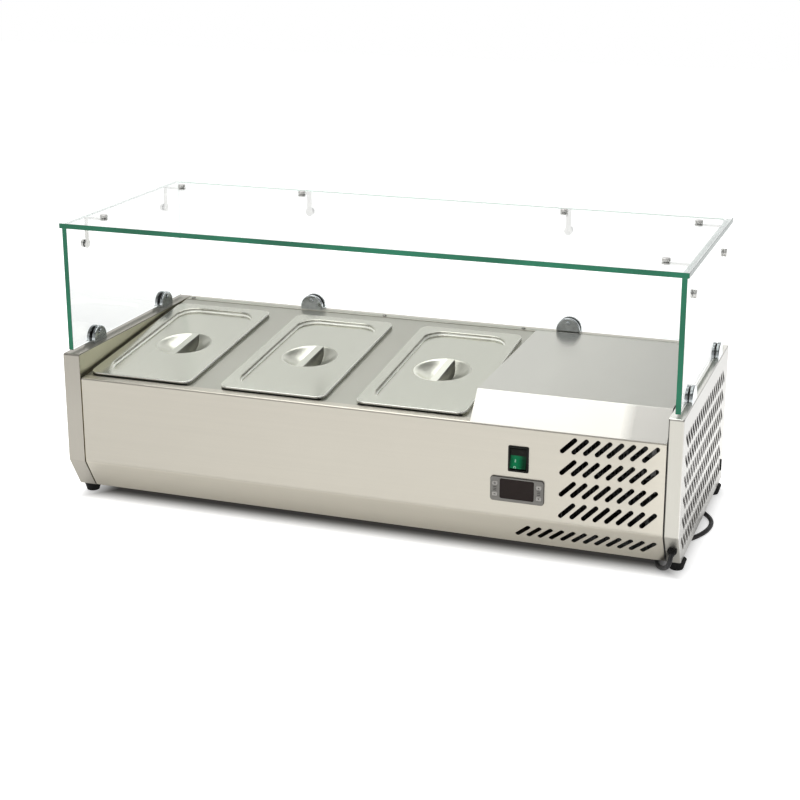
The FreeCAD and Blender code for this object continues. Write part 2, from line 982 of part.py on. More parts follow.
def bulkhead():
    profile = inner_profile()
    plate = prism_x(profile, inner_corners(), bulkhead_x(), bulkhead_x() + sheet)
    radius = evaporator_radius + tube_hole_gap
    holes = [rod(end - V(beyond, 0, 0), V(1, 0, 0), 2 * beyond, radius) for end in evaporator_ends()]
    return plate.cut([above_deck(deck_under - seat_gap), top_bend_room()] + holes)


# Food pans and lids, in the deck's own frame
def tapered_tub(x, u, width, length, corner, top, depth, floor_round):
    upper = rounded_rect(x, u, width, length, corner, top)
    lower = rounded_rect(x, u, width - 2 * pan_draft, length - 2 * pan_draft, corner - pan_draft, top - depth)
    tub = Part.makeLoft([upper, lower], True, True)
    return tub.makeFillet(floor_round, edges_where(tub, lambda p: at(p.z, top - depth)))


def food_pan(x, u):
    width = pan_width - 2 * pan_rim
    length = pan_length - 2 * pan_rim
    lip = 2 * pan_wall
    rim = slab(x, u, pan_width, pan_length, pan_corner, deck_top + seat_gap, rim_top)
    rim = rim.makeFillet(pan_rim_round, edges_where(rim, lambda p: at(p.z, rim_top)))
    under = slab(x, u, pan_width - lip, pan_length - lip, pan_corner - pan_wall, deck_top, rim_top - pan_wall)
    outer = tapered_tub(x, u, width, length, pan_body_corner, rim_top, pan_depth, pan_floor_round)
    inner_corner = pan_body_corner - pan_wall
    inner_depth = pan_depth - pan_wall
    inner_round = pan_floor_round - pan_wall
    inner = tapered_tub(x, u, width - lip, length - lip, inner_corner, rim_top, inner_depth, inner_round)
    return on_deck(rim.cut(under).fuse(outer).cut(inner).removeSplitter())


def sunk_block(x, u, grow, bottom, top, floor_round):
    """Rounded block of the lid's sunk panel."""
    width = pan_width - 2 * lid_border + 2 * grow
    length = pan_length - 2 * lid_border + 2 * grow
    block = slab(x, u, width, length, lid_corner + grow, bottom, top)
    return block.makeFillet(floor_round, edges_where(block, lambda p: at(p.z, bottom)))


def dish_block(x, u, level, top, grow):
    """Bowl with a flared lip, struck up to a level, grown outwards and closed at its top."""
    ball = (dish_radius ** 2 + dish_depth ** 2) / (2 * dish_depth) - dish_lip
    up = V(0, 0, 1)
    centre = V(x, u, level - dish_depth + ball)
    lip_centre = V(x + dish_radius, u, level - dish_lip)
    towards = unit(lip_centre - centre)
    bowl = ball + grow
    lip = dish_lip - grow
    bottom = centre - up * bowl
    touch = centre + towards * bowl
    rim = lip_centre + up * lip
    edges = [Part.Arc(bottom, centre + unit(towards - up) * bowl, touch).toShape()]
    edges.append(Part.Arc(touch, lip_centre + unit(up - towards) * lip, rim).toShape())
    corners = [rim, V(x + dish_radius, u, top), V(x, u, top), bottom]
    for a, b in zip(corners, corners[1:]):
        if (b - a).Length > 1e-6:
            edges.append(Part.LineSegment(a, b).toShape())
    return face_of(Part.Wire(edges)).revolve(V(x, u, 0), up, 360)


def finger_bar(x, u, level, inset_by, reach):
    """Sloping-sided bar with round top edges across the dish, from front to rear."""
    depth = dish_depth + 2 * lid_sheet
    top = level - inset_by
    half_top = bar_top / 2 - inset_by
    half_foot = bar_foot / 2 - inset_by
    corner = bar_round - inset_by
    foot = level - depth
    outline = [(x - half_top, top), (x - half_foot, foot), (x + half_foot, foot), (x + half_top, top)]
    return prism_y(outline, [corner, 0, 0, corner], u - reach, u + reach)


def lid(x, u):
    """Lid on a pan's rim: thick hemmed border, sunk panel with rounded edges, finger dish with its bar."""
    seat = rim_top + seat_gap
    top = seat + lid_hem
    level = top - lid_recess
    struck = level + dish_rise
    width = pan_width - 2 * lid_inset
    length = pan_length - 2 * lid_inset
    flange = slab(x, u, width, length, pan_corner - lid_inset, seat, top)
    flange = flange.makeFillet(lid_rim_round, edges_where(flange, lambda p: at(p.z, top)))
    under = sunk_block(x, u, lid_sheet, level - lid_sheet, seat, lid_round + lid_sheet)
    body = flange.fuse(under)
    body = body.makeFillet(lid_edge_round - lid_sheet, edges_where(body, lambda p: on_sunk_edge(p, x, u, seat)))
    body = body.cut(sunk_block(x, u, 0, level, top, lid_round))
    body = body.makeFillet(lid_edge_round, edges_where(body, lambda p: on_sunk_edge(p, x, u, top)))
    pockets = dish_block(x, u, struck, struck, 0).cut(finger_bar(x, u, struck, 0, 2 * dish_radius))
    hollow = finger_bar(x, u, level, lid_sheet, bar_hollow_reach)
    body = body.fuse(dish_block(x, u, struck, level, lid_sheet)).cut(pockets).cut(hollow)
    return on_deck(body)


def on_sunk_edge(p, x, u, level):
    """Whether a point lies at a level, on the edge of a lid's sunk panel."""
    half_x = pan_width / 2 - lid_border + 2 * lid_sheet
    half_y = pan_length / 2 - lid_border + 2 * lid_sheet
    return at(p.z, level) and abs(p.x - x) < half_x and abs(p.y - u) < half_y


# Glass guard
def pane_faces():
    """Inner faces of the left, right and rear panes."""
    return x_left + pane_inset + glass, x_right - pane_inset - glass, y_rear - rear_pane_inset - glass


def guard_stations(front_y, back_y, rear_spots):
    """Turn and place of each clamp or strap: two on each side pane, two on the rear pane."""
    left, right, rear = pane_faces()
    stations = []
    for y in (front_y, back_y):
        stations.append((90, left, y_front + y))
        stations.append((-90, right, y_front + y))
    for x in rear_spots:
        stations.append((0, x, rear))
    return stations


def clamp_stations():
    rear_spots = (clamp_rear_shift - clamp_rear_x, clamp_rear_shift + clamp_rear_x)
    return guard_stations(clamp_front_y, clamp_back_y, rear_spots)


def strap_stations():
    return guard_stations(strap_front_y, strap_back_y, (-strap_rear_x, strap_rear_x))


def half_round(bottom, width, height, y0, y1):
    """Upright plate with a half-round top, standing across Y."""
    half = width / 2
    spring = height - half
    edges = [Part.LineSegment(V(-half, y0, bottom), V(half, y0, bottom)).toShape()]
    edges.append(Part.LineSegment(V(half, y0, bottom), V(half, y0, spring)).toShape())
    edges.append(Part.Arc(V(half, y0, spring), V(0, y0, height), V(-half, y0, spring)).toShape())
    edges.append(Part.LineSegment(V(-half, y0, spring), V(-half, y0, bottom)).toShape())
    return face_of(Part.Wire(edges)).extrude(V(0, y1 - y0, 0))


def clamp_screw_z():
    return clamp_height - clamp_screw_drop


def clamp_body():
    """Fixed half of a clamp: the foot under the glass and the jaw inside the guard."""
    inner = -clamp_pad - clamp_jaw
    outer = glass + clamp_pad + clamp_jaw
    jaw = half_round(0, clamp_width, clamp_height, inner, -clamp_pad)
    jaw = jaw.makeFillet(clamp_round, edges_where(jaw, lambda p: at(p.y, inner) and p.z > clamp_round))
    foot = box(-clamp_width / 2, clamp_width / 2, -clamp_pad - clamp_jaw / 2, outer, 0, clamp_base)
    hole_radius = clamp_screw_radius + clamp_screw_gap
    hole = rod(V(0, inner - clamp_jaw, clamp_screw_z()), V(0, 1, 0), 2 * clamp_jaw, hole_radius)
    return jaw.fuse(foot).cut(hole)


def clamp_loose_jaw():
    near = glass + clamp_pad
    jaw = half_round(clamp_base + seat_gap, clamp_width, clamp_height, near, near + clamp_jaw)
    spring = clamp_height - clamp_width / 2
    outer_edges = edges_where(jaw, lambda p: at(p.y, near + clamp_jaw) and p.z > spring - seat_gap)
    return jaw.makeFillet(clamp_round, outer_edges)


def clamp_pads():
    width = clamp_width - 2 * clamp_pad_inset
    height = clamp_height - clamp_pad_inset
    bottom = clamp_base + seat_gap
    inner = half_round(bottom, width, height, -clamp_pad, 0)
    return inner.fuse(half_round(bottom, width, height, glass, glass + clamp_pad))


def clamp_screw():
    face = -clamp_pad - clamp_jaw
    head = rod(V(0, face, clamp_screw_z()), V(0, -1, 0), clamp_head_height, clamp_head_radius)
    top = face - clamp_head_height
    head = head.makeFillet(clamp_head_height / 2, edges_where(head, lambda p: at(p.y, top)))
    slot = box(-clamp_head_radius, clamp_head_radius, top, top + clamp_head_height / 2,
               clamp_screw_z() - clamp_screw_gap * 2, clamp_screw_z() + clamp_screw_gap * 2)
    shank = rod(V(0, face, clamp_screw_z()), V(0, 1, 0), clamp_jaw, clamp_screw_radius)
    return head.cut(slot).fuse(shank)


def on_clamps(shape):
    return [turned_to(shape, turn, x, y, cabinet_top) for turn, x, y in clamp_stations()]


def strap_shape():
    """Angle strap in a corner: one leg under the top pane, one inside the upright pane."""
    half = strap_width / 2
    under = -seat_gap
    face = -seat_gap
    level = box(-half, half, face - strap_reach, face, under - strap, under)
    level = level.fuse(rod(V(0, face - strap_reach, under - strap), V(0, 0, 1), strap, strap_end_radius))
    upright = box(-half, half, face - strap, face, under - strap_drop, under)
    upright = upright.fuse(rod(V(0, face - strap, under - strap_drop), V(0, 1, 0), strap, strap_end_radius))
    return level.fuse(upright).removeSplitter()


def button(base, outwards):
    """Round button on the outer side of a pane, with its shank through the glass to the strap."""
    shank = rod(base, outwards, glass + seat_gap, button_shank_radius)
    seat = base + outwards * (glass + seat_gap)
    cap = rod(seat, outwards, button_height, button_radius)
    top = seat + outwards * button_height
    cap = cap.makeFillet(button_round, edges_where(cap, lambda p: at((p - top).dot(outwards), 0)))
    return shank.fuse(cap)


def button_pair():
    level = button(V(0, -seat_gap - strap_reach, -seat_gap), V(0, 0, 1))
    upright = button(V(0, -seat_gap, -seat_gap - strap_drop), V(0, 1, 0))
    return [level, upright]


def button_holes():
    """Cutters for the buttons' shanks, at every strap."""
    radius = button_shank_radius + button_hole_gap
    level = rod(V(0, -seat_gap - strap_reach, -glass), V(0, 0, 1), 3 * glass, radius)
    upright = rod(V(0, -glass, -seat_gap - strap_drop), V(0, 1, 0), 3 * glass, radius)
    cutters = []
    for turn, x, y in strap_stations():
        cutters.append(turned_to(level, turn, x, y, guard_under))
        cutters.append(turned_to(upright, turn, x, y, guard_under))
    return cutters


def pane(shape):
    """Pane with its long edges ground and its button holes drilled."""
    return shape.makeFillet(pane_edge_round, shape.Edges).cut(button_holes())


def glass_top():
    return pane(box(x_left + top_inset_x, x_right - top_inset_x, y_front + top_inset_front,
                    y_rear - top_inset_rear, guard_under, guard_under + glass))


def side_pane(x0):
    rear = pane_faces()[2] + glass
    bottom = cabinet_top + clamp_base + seat_gap
    return pane(box(x0, x0 + glass, y_front + pane_front, rear, bottom, guard_under - seat_gap))


def glass_rear():
    left, right, rear = pane_faces()
    bottom = cabinet_top + clamp_base + seat_gap
    return pane(box(left + pane_gap, right - pane_gap, rear, rear + glass, bottom, guard_under - seat_gap))


# Switch and thermostat on the front panel
def switch_spot():
    return cover_left + switch_left, front_top - switch_drop


def control_spot():
    return cover_left + control_left, front_top - control_drop


def centred(spot, width, height):
    x, z = spot
    return rectangle(x - width / 2, x + width / 2, z - height / 2, z + height / 2)


def rocker_pivot():
    x, z = switch_spot()
    return V(x, y_panel + rocker_pivot_depth, z)


def switch_bezel():
    spot = switch_spot()
    front = y_panel - switch_proud
    flange = prism_y(centred(spot, switch_width, switch_height), [switch_corner] * 4, front, y_panel)
    flange = flange.makeFillet(switch_proud / 2, edges_where(flange, lambda p: at(p.y, front)))
    width = switch_width - 2 * switch_border
    height = switch_height - 2 * switch_border
    sleeve = prism_y(centred(spot, width, height), [0] * 4, y_panel, y_panel + switch_depth)
    room = centred(spot, width - 2 * switch_wall, height - 2 * switch_wall)
    hollow = prism_y(room, [0] * 4, front, y_panel + switch_depth - switch_wall)
    reach = width / 2 - switch_wall + rocker_pin_reach + seat_gap
    bore = rod(rocker_pivot() - V(reach, 0, 0), V(1, 0, 0), 2 * reach, rocker_pin_radius + rocker_pin_gap)
    return flange.fuse(sleeve).cut([hollow, bore])


def switch_rocker():
    """Rocker with a shallow V face, resting with its upper end pressed in."""
    pivot = rocker_pivot()
    room_width = switch_width - 2 * switch_border - 2 * switch_wall
    room_height = switch_height - 2 * switch_border - 2 * switch_wall
    half_x = room_width / 2 - rocker_side_gap
    half_z = room_height / 2 - rocker_end_gap
    outline = [(-rocker_front, half_z), (-rocker_valley, 0), (-rocker_front, -half_z)]
    outline += [(rocker_back, -half_z), (rocker_back, half_z)]
    radii = [rocker_valley / 4, rocker_front * 2, rocker_valley / 4, 0, 0]
    body = prism_x(outline, radii, -half_x, half_x)
    reach = room_width / 2 + rocker_pin_reach
    body = body.fuse(rod(V(-reach, 0, 0), V(1, 0, 0), 2 * reach, rocker_pin_radius))
    body.rotate(V(0, 0, 0), V(1, 0, 0), -rocker_rest_tilt)
    body.translate(pivot)
    return body


def key_spots():
    x, z = control_spot()
    column = (control_width + window_width) / 4
    return [(x + side * column, z + rise) for side in (-1, 1) for rise in (key_rise, -key_rise)]


def window_spot():
    x, z = control_spot()
    return x, z + window_rise


def controller_bezel():
    spot = control_spot()
    front = y_panel - control_proud
    frame = prism_y(centred(spot, control_width, control_height), [control_corner] * 4, front, y_panel)
    frame = frame.makeFillet(control_round, edges_where(frame, lambda p: at(p.y, front)))
    opening = centred(window_spot(), window_width, window_height)
    cutters = [prism_y(opening, [window_corner] * 4, front, y_panel)]
    for key in key_spots():
        room = centred(key, key_width + 2 * key_gap, key_height + 2 * key_gap)
        cutters.append(prism_y(room, [key_corner + key_gap] * 4, front, y_panel))
    return frame.cut(cutters)


def controller_window():
    width = window_width - 2 * window_gap
    height = window_height - 2 * window_gap
    outline = centred(window_spot(), width, height)
    return prism_y(outline, [window_corner] * 4, y_panel - control_proud + window_sunk, y_panel)


def controller_body():
    width = control_body_width - 2 * control_hole_gap
    height = control_body_height - 2 * control_hole_gap
    outline = centred(control_spot(), width, height)
    return prism_y(outline, [0] * 4, y_panel, y_panel + control_body_depth)


def controller_key(spot):
    front = y_panel - control_proud - key_proud
    back = y_panel - key_travel - key_stop_gap
    key = prism_y(centred(spot, key_width, key_height), [key_corner] * 4, front, back)
    return key.makeFillet(key_proud / 2, edges_where(key, lambda p: at(p.y, front)))


# Machine
def compressor_centre():
    return V(cover_left + compressor_x, compressor_y, floor_top + grommet_height + base_plate_thickness)


def compressor_shell():
    """Domed steel can with a weld seam, on a short foot ring."""
    centre = compressor_centre()
    bottom = compressor_foot_height
    top = bottom + compressor_height
    ball = (compressor_radius ** 2 + compressor_dome ** 2) / (2 * compressor_dome)
    half = math.asin(compressor_radius / ball) / 2
    lean = V(ball * math.sin(half), 0, ball * (1 - math.cos(half)))
    low = V(compressor_radius, 0, bottom + compressor_dome)
    high = V(compressor_radius, 0, top - compressor_dome)
    edges = [Part.LineSegment(V(0, 0, top), V(0, 0, bottom)).toShape()]
    edges.append(Part.Arc(V(0, 0, bottom), V(lean.x, 0, bottom + lean.z), low).toShape())
    edges.append(Part.LineSegment(low, high).toShape())
    edges.append(Part.Arc(high, V(lean.x, 0, top - lean.z), V(0, 0, top)).toShape())
    can = Part.Face(Part.Wire(edges)).revolve(V(0, 0, 0), V(0, 0, 1), 360)
    can = can.makeFillet(compressor_round, edges_where(can, lambda p: at(p.z, low.z) or at(p.z, high.z)))
    middle = bottom + compressor_height / 2
    ring = rod(V(0, 0, middle), V(0, 0, 1), compressor_seam_height, compressor_radius + compressor_seam)
    foot = rod(V(0, 0, 0), V(0, 0, 1), bottom + compressor_dome / 2, compressor_foot_radius)
    shell = can.fuse([ring, foot])
    shell.translate(centre)
    return shell


def grommet_places():
    centre = compressor_centre()
    reach_x = base_plate_length / 2 - base_plate_inset
    reach_y = base_plate_width / 2 - base_plate_inset
    return [V(centre.x + i * reach_x, centre.y + j * reach_y, floor_top) for i in (-1, 1) for j in (-1, 1)]


def compressor_base():
    centre = compressor_centre()
    low = centre.z - base_plate_thickness
    plate = slab(centre.x, centre.y, base_plate_length, base_plate_width, base_plate_inset, low, centre.z)
    return plate.cut([rod(p, V(0, 0, 1), beyond, grommet_neck + grommet_gap) for p in grommet_places()])


def compressor_grommets():
    grommets = []
    for place in grommet_places():
        lower = rod(place, V(0, 0, 1), grommet_height, grommet_radius)
        neck = rod(place, V(0, 0, 1), grommet_height + base_plate_thickness + grommet_cap, grommet_neck)
        cap_base = place + V(0, 0, grommet_height + base_plate_thickness + seat_gap)
        cap = rod(cap_base, V(0, 0, 1), grommet_cap, grommet_radius)
        grommets.append(lower.fuse([neck, cap]))
    return grommets


def terminal_box():
    centre = compressor_centre()
    x = centre.x + compressor_radius + seat_gap
    half = terminal_width / 2
    z = centre.z + compressor_foot_height + compressor_height / 2 - seat_gap
    return box(x, x + terminal_depth, centre.y - half, centre.y + half, z - terminal_height, z)


def condenser_bounds():
    right = x_right_in - condenser_right_gap
    return right - condenser_width, right, y_panel + condenser_front, y_panel + condenser_front + condenser_depth


def condenser_line():
    left, right, front, rear = condenser_bounds()
    start = V(left, (front + rear) / 2, floor_top + condenser_first_run)
    return start, V(right - left, 0, 0), V(0, 0, condenser_run_pitch)


def condenser_ends():
    """Outlet at the bottom and inlet at the top, both on the left."""
    start, run, step = condenser_line()
    lead = V(condenser_lead, 0, 0)
    return start - lead, start + step * (condenser_runs - 1) - lead


def condenser_plate(x, thickness, bottom):
    """Upright plate with a hole for every tube run."""
    left, right, front, rear = condenser_bounds()
    start, run, step = condenser_line()
    corners = [V(x, front, bottom), V(x, rear, bottom)]
    corners += [V(x, rear, floor_top + condenser_height), V(x, front, floor_top + condenser_height)]
    radius = condenser_tube_radius + condenser_tube_gap
    centres = [start + step * k for k in range(condenser_runs)]
    holes = [Part.Wire([Part.makeCircle(radius, V(x, c.y, c.z), V(1, 0, 0))]) for c in centres]
    return face_of(rounded_outline(corners, [0] * 4), holes).extrude(V(thickness, 0, 0))


def condenser_fins():
    left, right, front, rear = condenser_bounds()
    plates = [condenser_plate(left, sheet, floor_top), condenser_plate(right - sheet, sheet, floor_top)]
    count = int((right - left - 2 * fin_pitch) / fin_pitch)
    for i in range(count):
        plates.append(condenser_plate(left + fin_pitch * (i + 1), fin, floor_top + condenser_foot))
    return plates


def condenser_coil():
    start, run, step = condenser_line()
    return tube_on(serpentine(start, run, step, condenser_runs, condenser_lead), condenser_tube_radius)


def fan_centre():
    """Middle of the shroud's front face."""
    left, right, front, rear = condenser_bounds()
    return V((left + right) / 2, rear + seat_gap, floor_top + condenser_height / 2)


def fan_shroud():
    """Plate and ring behind the condenser, with the bar that carries the motor."""
    left, right, front, rear = condenser_bounds()
    centre = fan_centre()
    inner = fan_radius + fan_tip_gap
    plate = box(left, right, centre.y, centre.y + sheet, floor_top, floor_top + condenser_height)
    ring = rod(centre, V(0, 1, 0), fan_ring_depth, inner + sheet)
    hole = rod(centre - V(0, sheet, 0), V(0, 1, 0), fan_ring_depth + 2 * sheet, inner)
    half = fan_bar_height / 2
    bar_y = centre.y + fan_ring_depth
    wide = inner + sheet
    bar_back = bar_y + fan_bar_thickness
    bar = box(centre.x - wide, centre.x + wide, bar_y, bar_back, centre.z - half, centre.z + half)
    bar = bar.cut(rod(centre, V(0, 1, 0), beyond, fan_bar_hole))
    return plate.fuse(ring).cut(hole).fuse(bar)


def motor_face():
    return fan_centre() + V(0, fan_ring_depth + fan_bar_thickness, 0)


def fan_motor():
    face = motor_face()
    can = rod(face, V(0, 1, 0), motor_length, motor_radius)
    boss = rod(face + V(0, motor_length, 0), V(0, 1, 0), motor_boss, motor_boss_radius)
    bore = rod(face, V(0, 1, 0), fan_shaft_depth + seat_gap, fan_shaft_radius + fan_shaft_gap)
    return can.fuse(boss).cut(bore)


def fan_blade():
    """Hub, pitched blades and shaft."""
    centre = fan_centre()
    hub_start = centre + V(0, fan_hub_start, 0)
    hub = rod(hub_start, V(0, 1, 0), fan_hub_height, fan_hub_radius)
    shaft_length = motor_face().y + fan_shaft_depth - hub_start.y
    pieces = [rod(hub_start, V(0, 1, 0), shaft_length, fan_shaft_radius)]
    middle = hub_start + V(0, fan_hub_height / 2, 0)
    tip = math.sqrt(fan_radius ** 2 - (fan_chord / 2) ** 2)
    half_chord = fan_chord / 2
    half_thick = fan_blade_thickness / 2
    for i in range(fan_blades):
        blade = box(fan_hub_radius / 2, tip, -half_thick, half_thick, -half_chord, half_chord)
        blade.rotate(V(0, 0, 0), V(1, 0, 0), 90 - fan_blade_angle)
        blade.rotate(V(0, 0, 0), V(0, 1, 0), i * 360 / fan_blades)
        blade.translate(middle)
        pieces.append(blade)
    return hub.fuse(pieces)


def drier_ends():
    """Inlet towards the condenser and outlet towards the rear."""
    outlet = condenser_ends()[0]
    x = cover_left + drier_x
    inlet = V(x, outlet.y + drier_inlet_gap, outlet.z)
    return inlet, inlet + V(0, drier_length, 0)


def filter_drier():
    inlet, outlet = drier_ends()
    ahead = V(0, 1, 0)
    nose = Part.makeCone(line_radius, drier_radius, drier_cone, inlet, ahead)
    body = rod(inlet + ahead * drier_cone, ahead, drier_length - 2 * drier_cone, drier_radius)
    tail = Part.makeCone(drier_radius, line_radius, drier_cone, outlet - ahead * drier_cone, ahead)
    return nose.fuse([body, tail])


def refrigerant_lines():
    condenser_out, condenser_in = condenser_ends()
    suction_start, capillary_end = evaporator_ends()
    drier_in, drier_out = drier_ends()
    centre = compressor_centre()
    liquid = [condenser_out, V(drier_in.x, condenser_out.y, condenser_out.z), drier_in]
    turn_y = drier_out.y + capillary_y
    side_x = cover_left + capillary_x
    capillary = [drier_out, V(drier_out.x, turn_y, drier_out.z), V(side_x, turn_y, drier_out.z)]
    capillary += [V(side_x, capillary_end.y, capillary_end.z), capillary_end]
    column_x = cover_left + suction_column
    high = suction_start.z + suction_rise
    shell_left = centre.x - compressor_radius - seat_gap
    suction = [suction_start, V(column_x, suction_start.y, suction_start.z), V(column_x, suction_start.y, high)]
    suction.append(V(shell_left, suction_start.y, high))
    discharge_column = cover_left + discharge_x
    low = condenser_in.z - discharge_drop
    side = math.sqrt((compressor_radius + seat_gap) ** 2 - (discharge_column - centre.x) ** 2)
    discharge = [condenser_in, V(discharge_column, condenser_in.y, condenser_in.z)]
    discharge += [V(discharge_column, condenser_in.y + discharge_y, condenser_in.z)]
    discharge.append(V(discharge_column, centre.y - side - discharge_drop, low))
    discharge.append(V(discharge_column, centre.y - side - line_radius, low))
    tubes = [tube_through(route, line_radius) for route in (liquid, capillary, discharge)]
    return tubes + [tube_through(suction, suction_radius)]


# Feet
def feet():
    pieces = []
    for place in foot_places():
        cone = Part.makeCone(foot_bottom_radius, foot_top_radius, foot_height, place, V(0, 0, 1))
        cone = cone.makeFillet(foot_sink_depth / 5, edges_where(cone, lambda p: at(p.z, 0)))
        bore = rod(place, V(0, 0, 1), foot_height, foot_bore_radius)
        sink = rod(place, V(0, 0, 1), foot_sink_depth, foot_sink_radius)
        pieces.append(cone.cut([bore, sink]))
    return pieces


def foot_screws():
    pieces = []
    for place in foot_places():
        seat = place + V(0, 0, foot_sink_depth)
        head = rod(seat, V(0, 0, -1), foot_screw_head_height, foot_screw_head)
        shank = rod(seat, V(0, 0, 1), z_under + foot_screw_top - foot_sink_depth, foot_screw_radius)
        pieces.append(head.fuse(shank))
    return pieces


# Mains cord
def cable_gland():
    """Rubber gland in the chamfer, with a tapered nose that the cord comes out of."""
    normal = chamfer_normal()
    seat = gland_place()
    flange = rod(seat, normal, gland_flange, gland_flange_radius)
    neck = rod(seat, normal * -1, sheet + gland_inside, gland_neck_radius)
    collar = rod(seat - normal * (sheet + seat_gap), normal * -1, gland_inside, gland_flange_radius)
    tip_radius = cord_radius + gland_lip
    nose = Part.makeCone(gland_nose_radius, tip_radius, gland_nose, seat + normal * gland_flange, normal)
    return flange.fuse([neck, collar, nose])


def cord_exit():
    return gland_place() + chamfer_normal() * (gland_flange + gland_nose)


def coil_centre():
    """Middle of the put-away coil, on the floor close behind the cabinet."""
    return V(x_right - coil_inwards, y_rear + coil_back, cord_radius + coil_lift)


def cord_route():
    """Route of the loose cord: out of the gland, under the cabinet, out at its side and to the coil."""
    start = cord_exit()
    first = start + chamfer_normal() * cord_stub
    coil_start = coil_centre() + V(coil_radius, 0, 0)
    route = [start, first]
    for inwards, share, lift in cord_spots:
        route.append(V(x_right - inwards, y_front + share * cabinet_depth, cord_radius + floor_gap + lift))
    return route + [coil_start - V(0, coil_lead, 0), coil_start]


def half_turn(start, middle_offset, across):
    """Level half turn: its far end lies across the coil, its middle to one side."""
    return Part.Arc(start, start + across * 0.5 + middle_offset, start + across).toShape()


def coil_edges():
    """One unbroken line: spiral in, climb a layer in the half turn where it reverses, spiral out."""
    here = coil_centre() + V(coil_radius, 0, 0)
    edges = []
    radius = coil_radius
    side = 1
    for k in range(coil_half_turns):
        edges.append(half_turn(here, V(0, side * radius, 0), V(-side * 2 * radius, 0, 0)))
        here = here + V(-side * 2 * radius, 0, 0)
        side = -side
        radius = radius - coil_pitch / 2
    bulge = math.sqrt(radius ** 2 + coil_layer ** 2 / 4)
    top = here + V(-side * radius, side * bulge, coil_layer / 2)
    end = here + V(-side * 2 * radius, 0, coil_layer)
    edges.append(arc_from_tangent(here, V(0, side, 0), top))
    edges.append(arc_from_tangent(end, V(0, side, 0), top, True))
    here = end
    side = -side
    for k in range(coil_half_turns - 1):
        radius = radius + coil_pitch / 2
        edges.append(half_turn(here, V(0, side * radius, 0), V(-side * 2 * radius, 0, 0)))
        here = here + V(-side * 2 * radius, 0, 0)
        side = -side
    radius = radius + coil_pitch / 2
    corner = math.sqrt(0.5)
    middle = here + V(-side * radius * (1 - corner), side * radius * corner, 0)
    last = here + V(-side * radius, side * radius, 0)
    edges.append(Part.Arc(here, middle, last).toShape())
    edges.append(Part.LineSegment(last, last + V(-side * coil_tail, 0, 0)).toShape())
    return edges


def arc_from_tangent(start, tangent, end, backwards=False):
    """Arc that leaves a point along a tangent and ends at another point."""
    chord = end - start
    along = unit(tangent)
    away = unit(chord - along * chord.dot(along))
    angle = along.getAngle(chord)
    radius = chord.Length / (2 * math.sin(angle))
    middle = start + along * (radius * math.sin(angle)) + away * (radius * (1 - math.cos(angle)))
    if backwards:
        return Part.Arc(end, middle, start).toShape()
    return Part.Arc(start, middle, end).toShape()


def coil_end():
    last = coil_edges()[-1]
    return last.valueAt(last.LastParameter)


def coil_tie():
    """Flat band round the four strands on the cabinet's side of the coil."""
    centre = coil_centre()
    near = coil_radius - coil_pitch / 2
    far = near - coil_pitch
    sag = (coil_pitch / 2 + tie_width / 2) ** 2 / (2 * far)
    y_low = centre.y - near - cord_radius - tie_gap
    y_high = centre.y - far + cord_radius + sag + tie_gap
    z_low = centre.z - cord_radius - coil_lift + tie_thickness
    z_high = centre.z + coil_layer + cord_radius + tie_gap
    x0 = centre.x - tie_width / 2
    x1 = centre.x + tie_width / 2
    t = tie_thickness
    return box(x0, x1, y_low - t, y_high + t, z_low - t, z_high + t).cut(box(x0, x1, y_low, y_high, z_low, z_high))


def plug_axis():
    """Middle of the plug, which lies on its back beyond the coil's tail."""
    end = coil_end()
    return V(end.x - plug_collar - plug_radius, end.y, end.z)


def plug_body():
    middle = plug_axis()
    disc = rod(V(middle.x, middle.y, 0), V(0, 0, 1), 2 * middle.z, plug_radius)
    disc = disc.makeFillet(plug_round, edges_where(disc, lambda p: at(p.z, 0) or at(p.z, 2 * middle.z)))
    collar_length = plug_collar + plug_radius / 2
    collar = Part.makeCone(cord_radius + gland_lip, plug_collar_radius, collar_length, coil_end(), V(-1, 0, 0))
    return disc.fuse(collar)


def plug_pins():
    middle = plug_axis()
    pins = []
    for side in (-1, 1):
        place = V(middle.x, middle.y + side * pin_spacing / 2, 2 * middle.z)
        pin = rod(place, V(0, 0, 1), pin_length, pin_radius)
        tip = place.z + pin_length
        pins.append(pin.makeFillet(pin_radius / 2, edges_where(pin, lambda p: at(p.z, tip))))
    return pins


def least_self_gap(edges, radius):
    """Least gap of a wound tube to itself, measured on points along its line."""
    points = []
    travelled = []
    length = 0.0
    for edge in edges:
        for spot in edge.discretize(Distance=radius)[1:]:
            if points:
                length += (spot - points[-1]).Length
            points.append(spot)
            travelled.append(length)
    least = beyond
    for i in range(len(points)):
        for j in range(i + 1, len(points)):
            if travelled[j] - travelled[i] > 4 * math.pi * radius:
                least = min(least, (points[i] - points[j]).Length)
    return least - 2 * radius


# Writing the parts
def solids_of(shapes):
    pieces = shapes if isinstance(shapes, list) else [shapes]
    return [solid for piece in pieces for solid in piece.Solids]


def write(name, shapes):
    """One file for a node, as one solid or as a group of separate solids."""
    solids = solids_of(shapes)
    whole = solids[0] if len(solids) == 1 else Part.makeCompound(solids)
    whole.exportStep("parts/" + name + ".step")
    state = "valid" if all(solid.isValid() for solid in solids) else "NOT VALID"
    print(f"{name}: {len(solids)} solid(s), {sum(s.Volume for s in solids) / 1000:.2f} cm3, {state}")


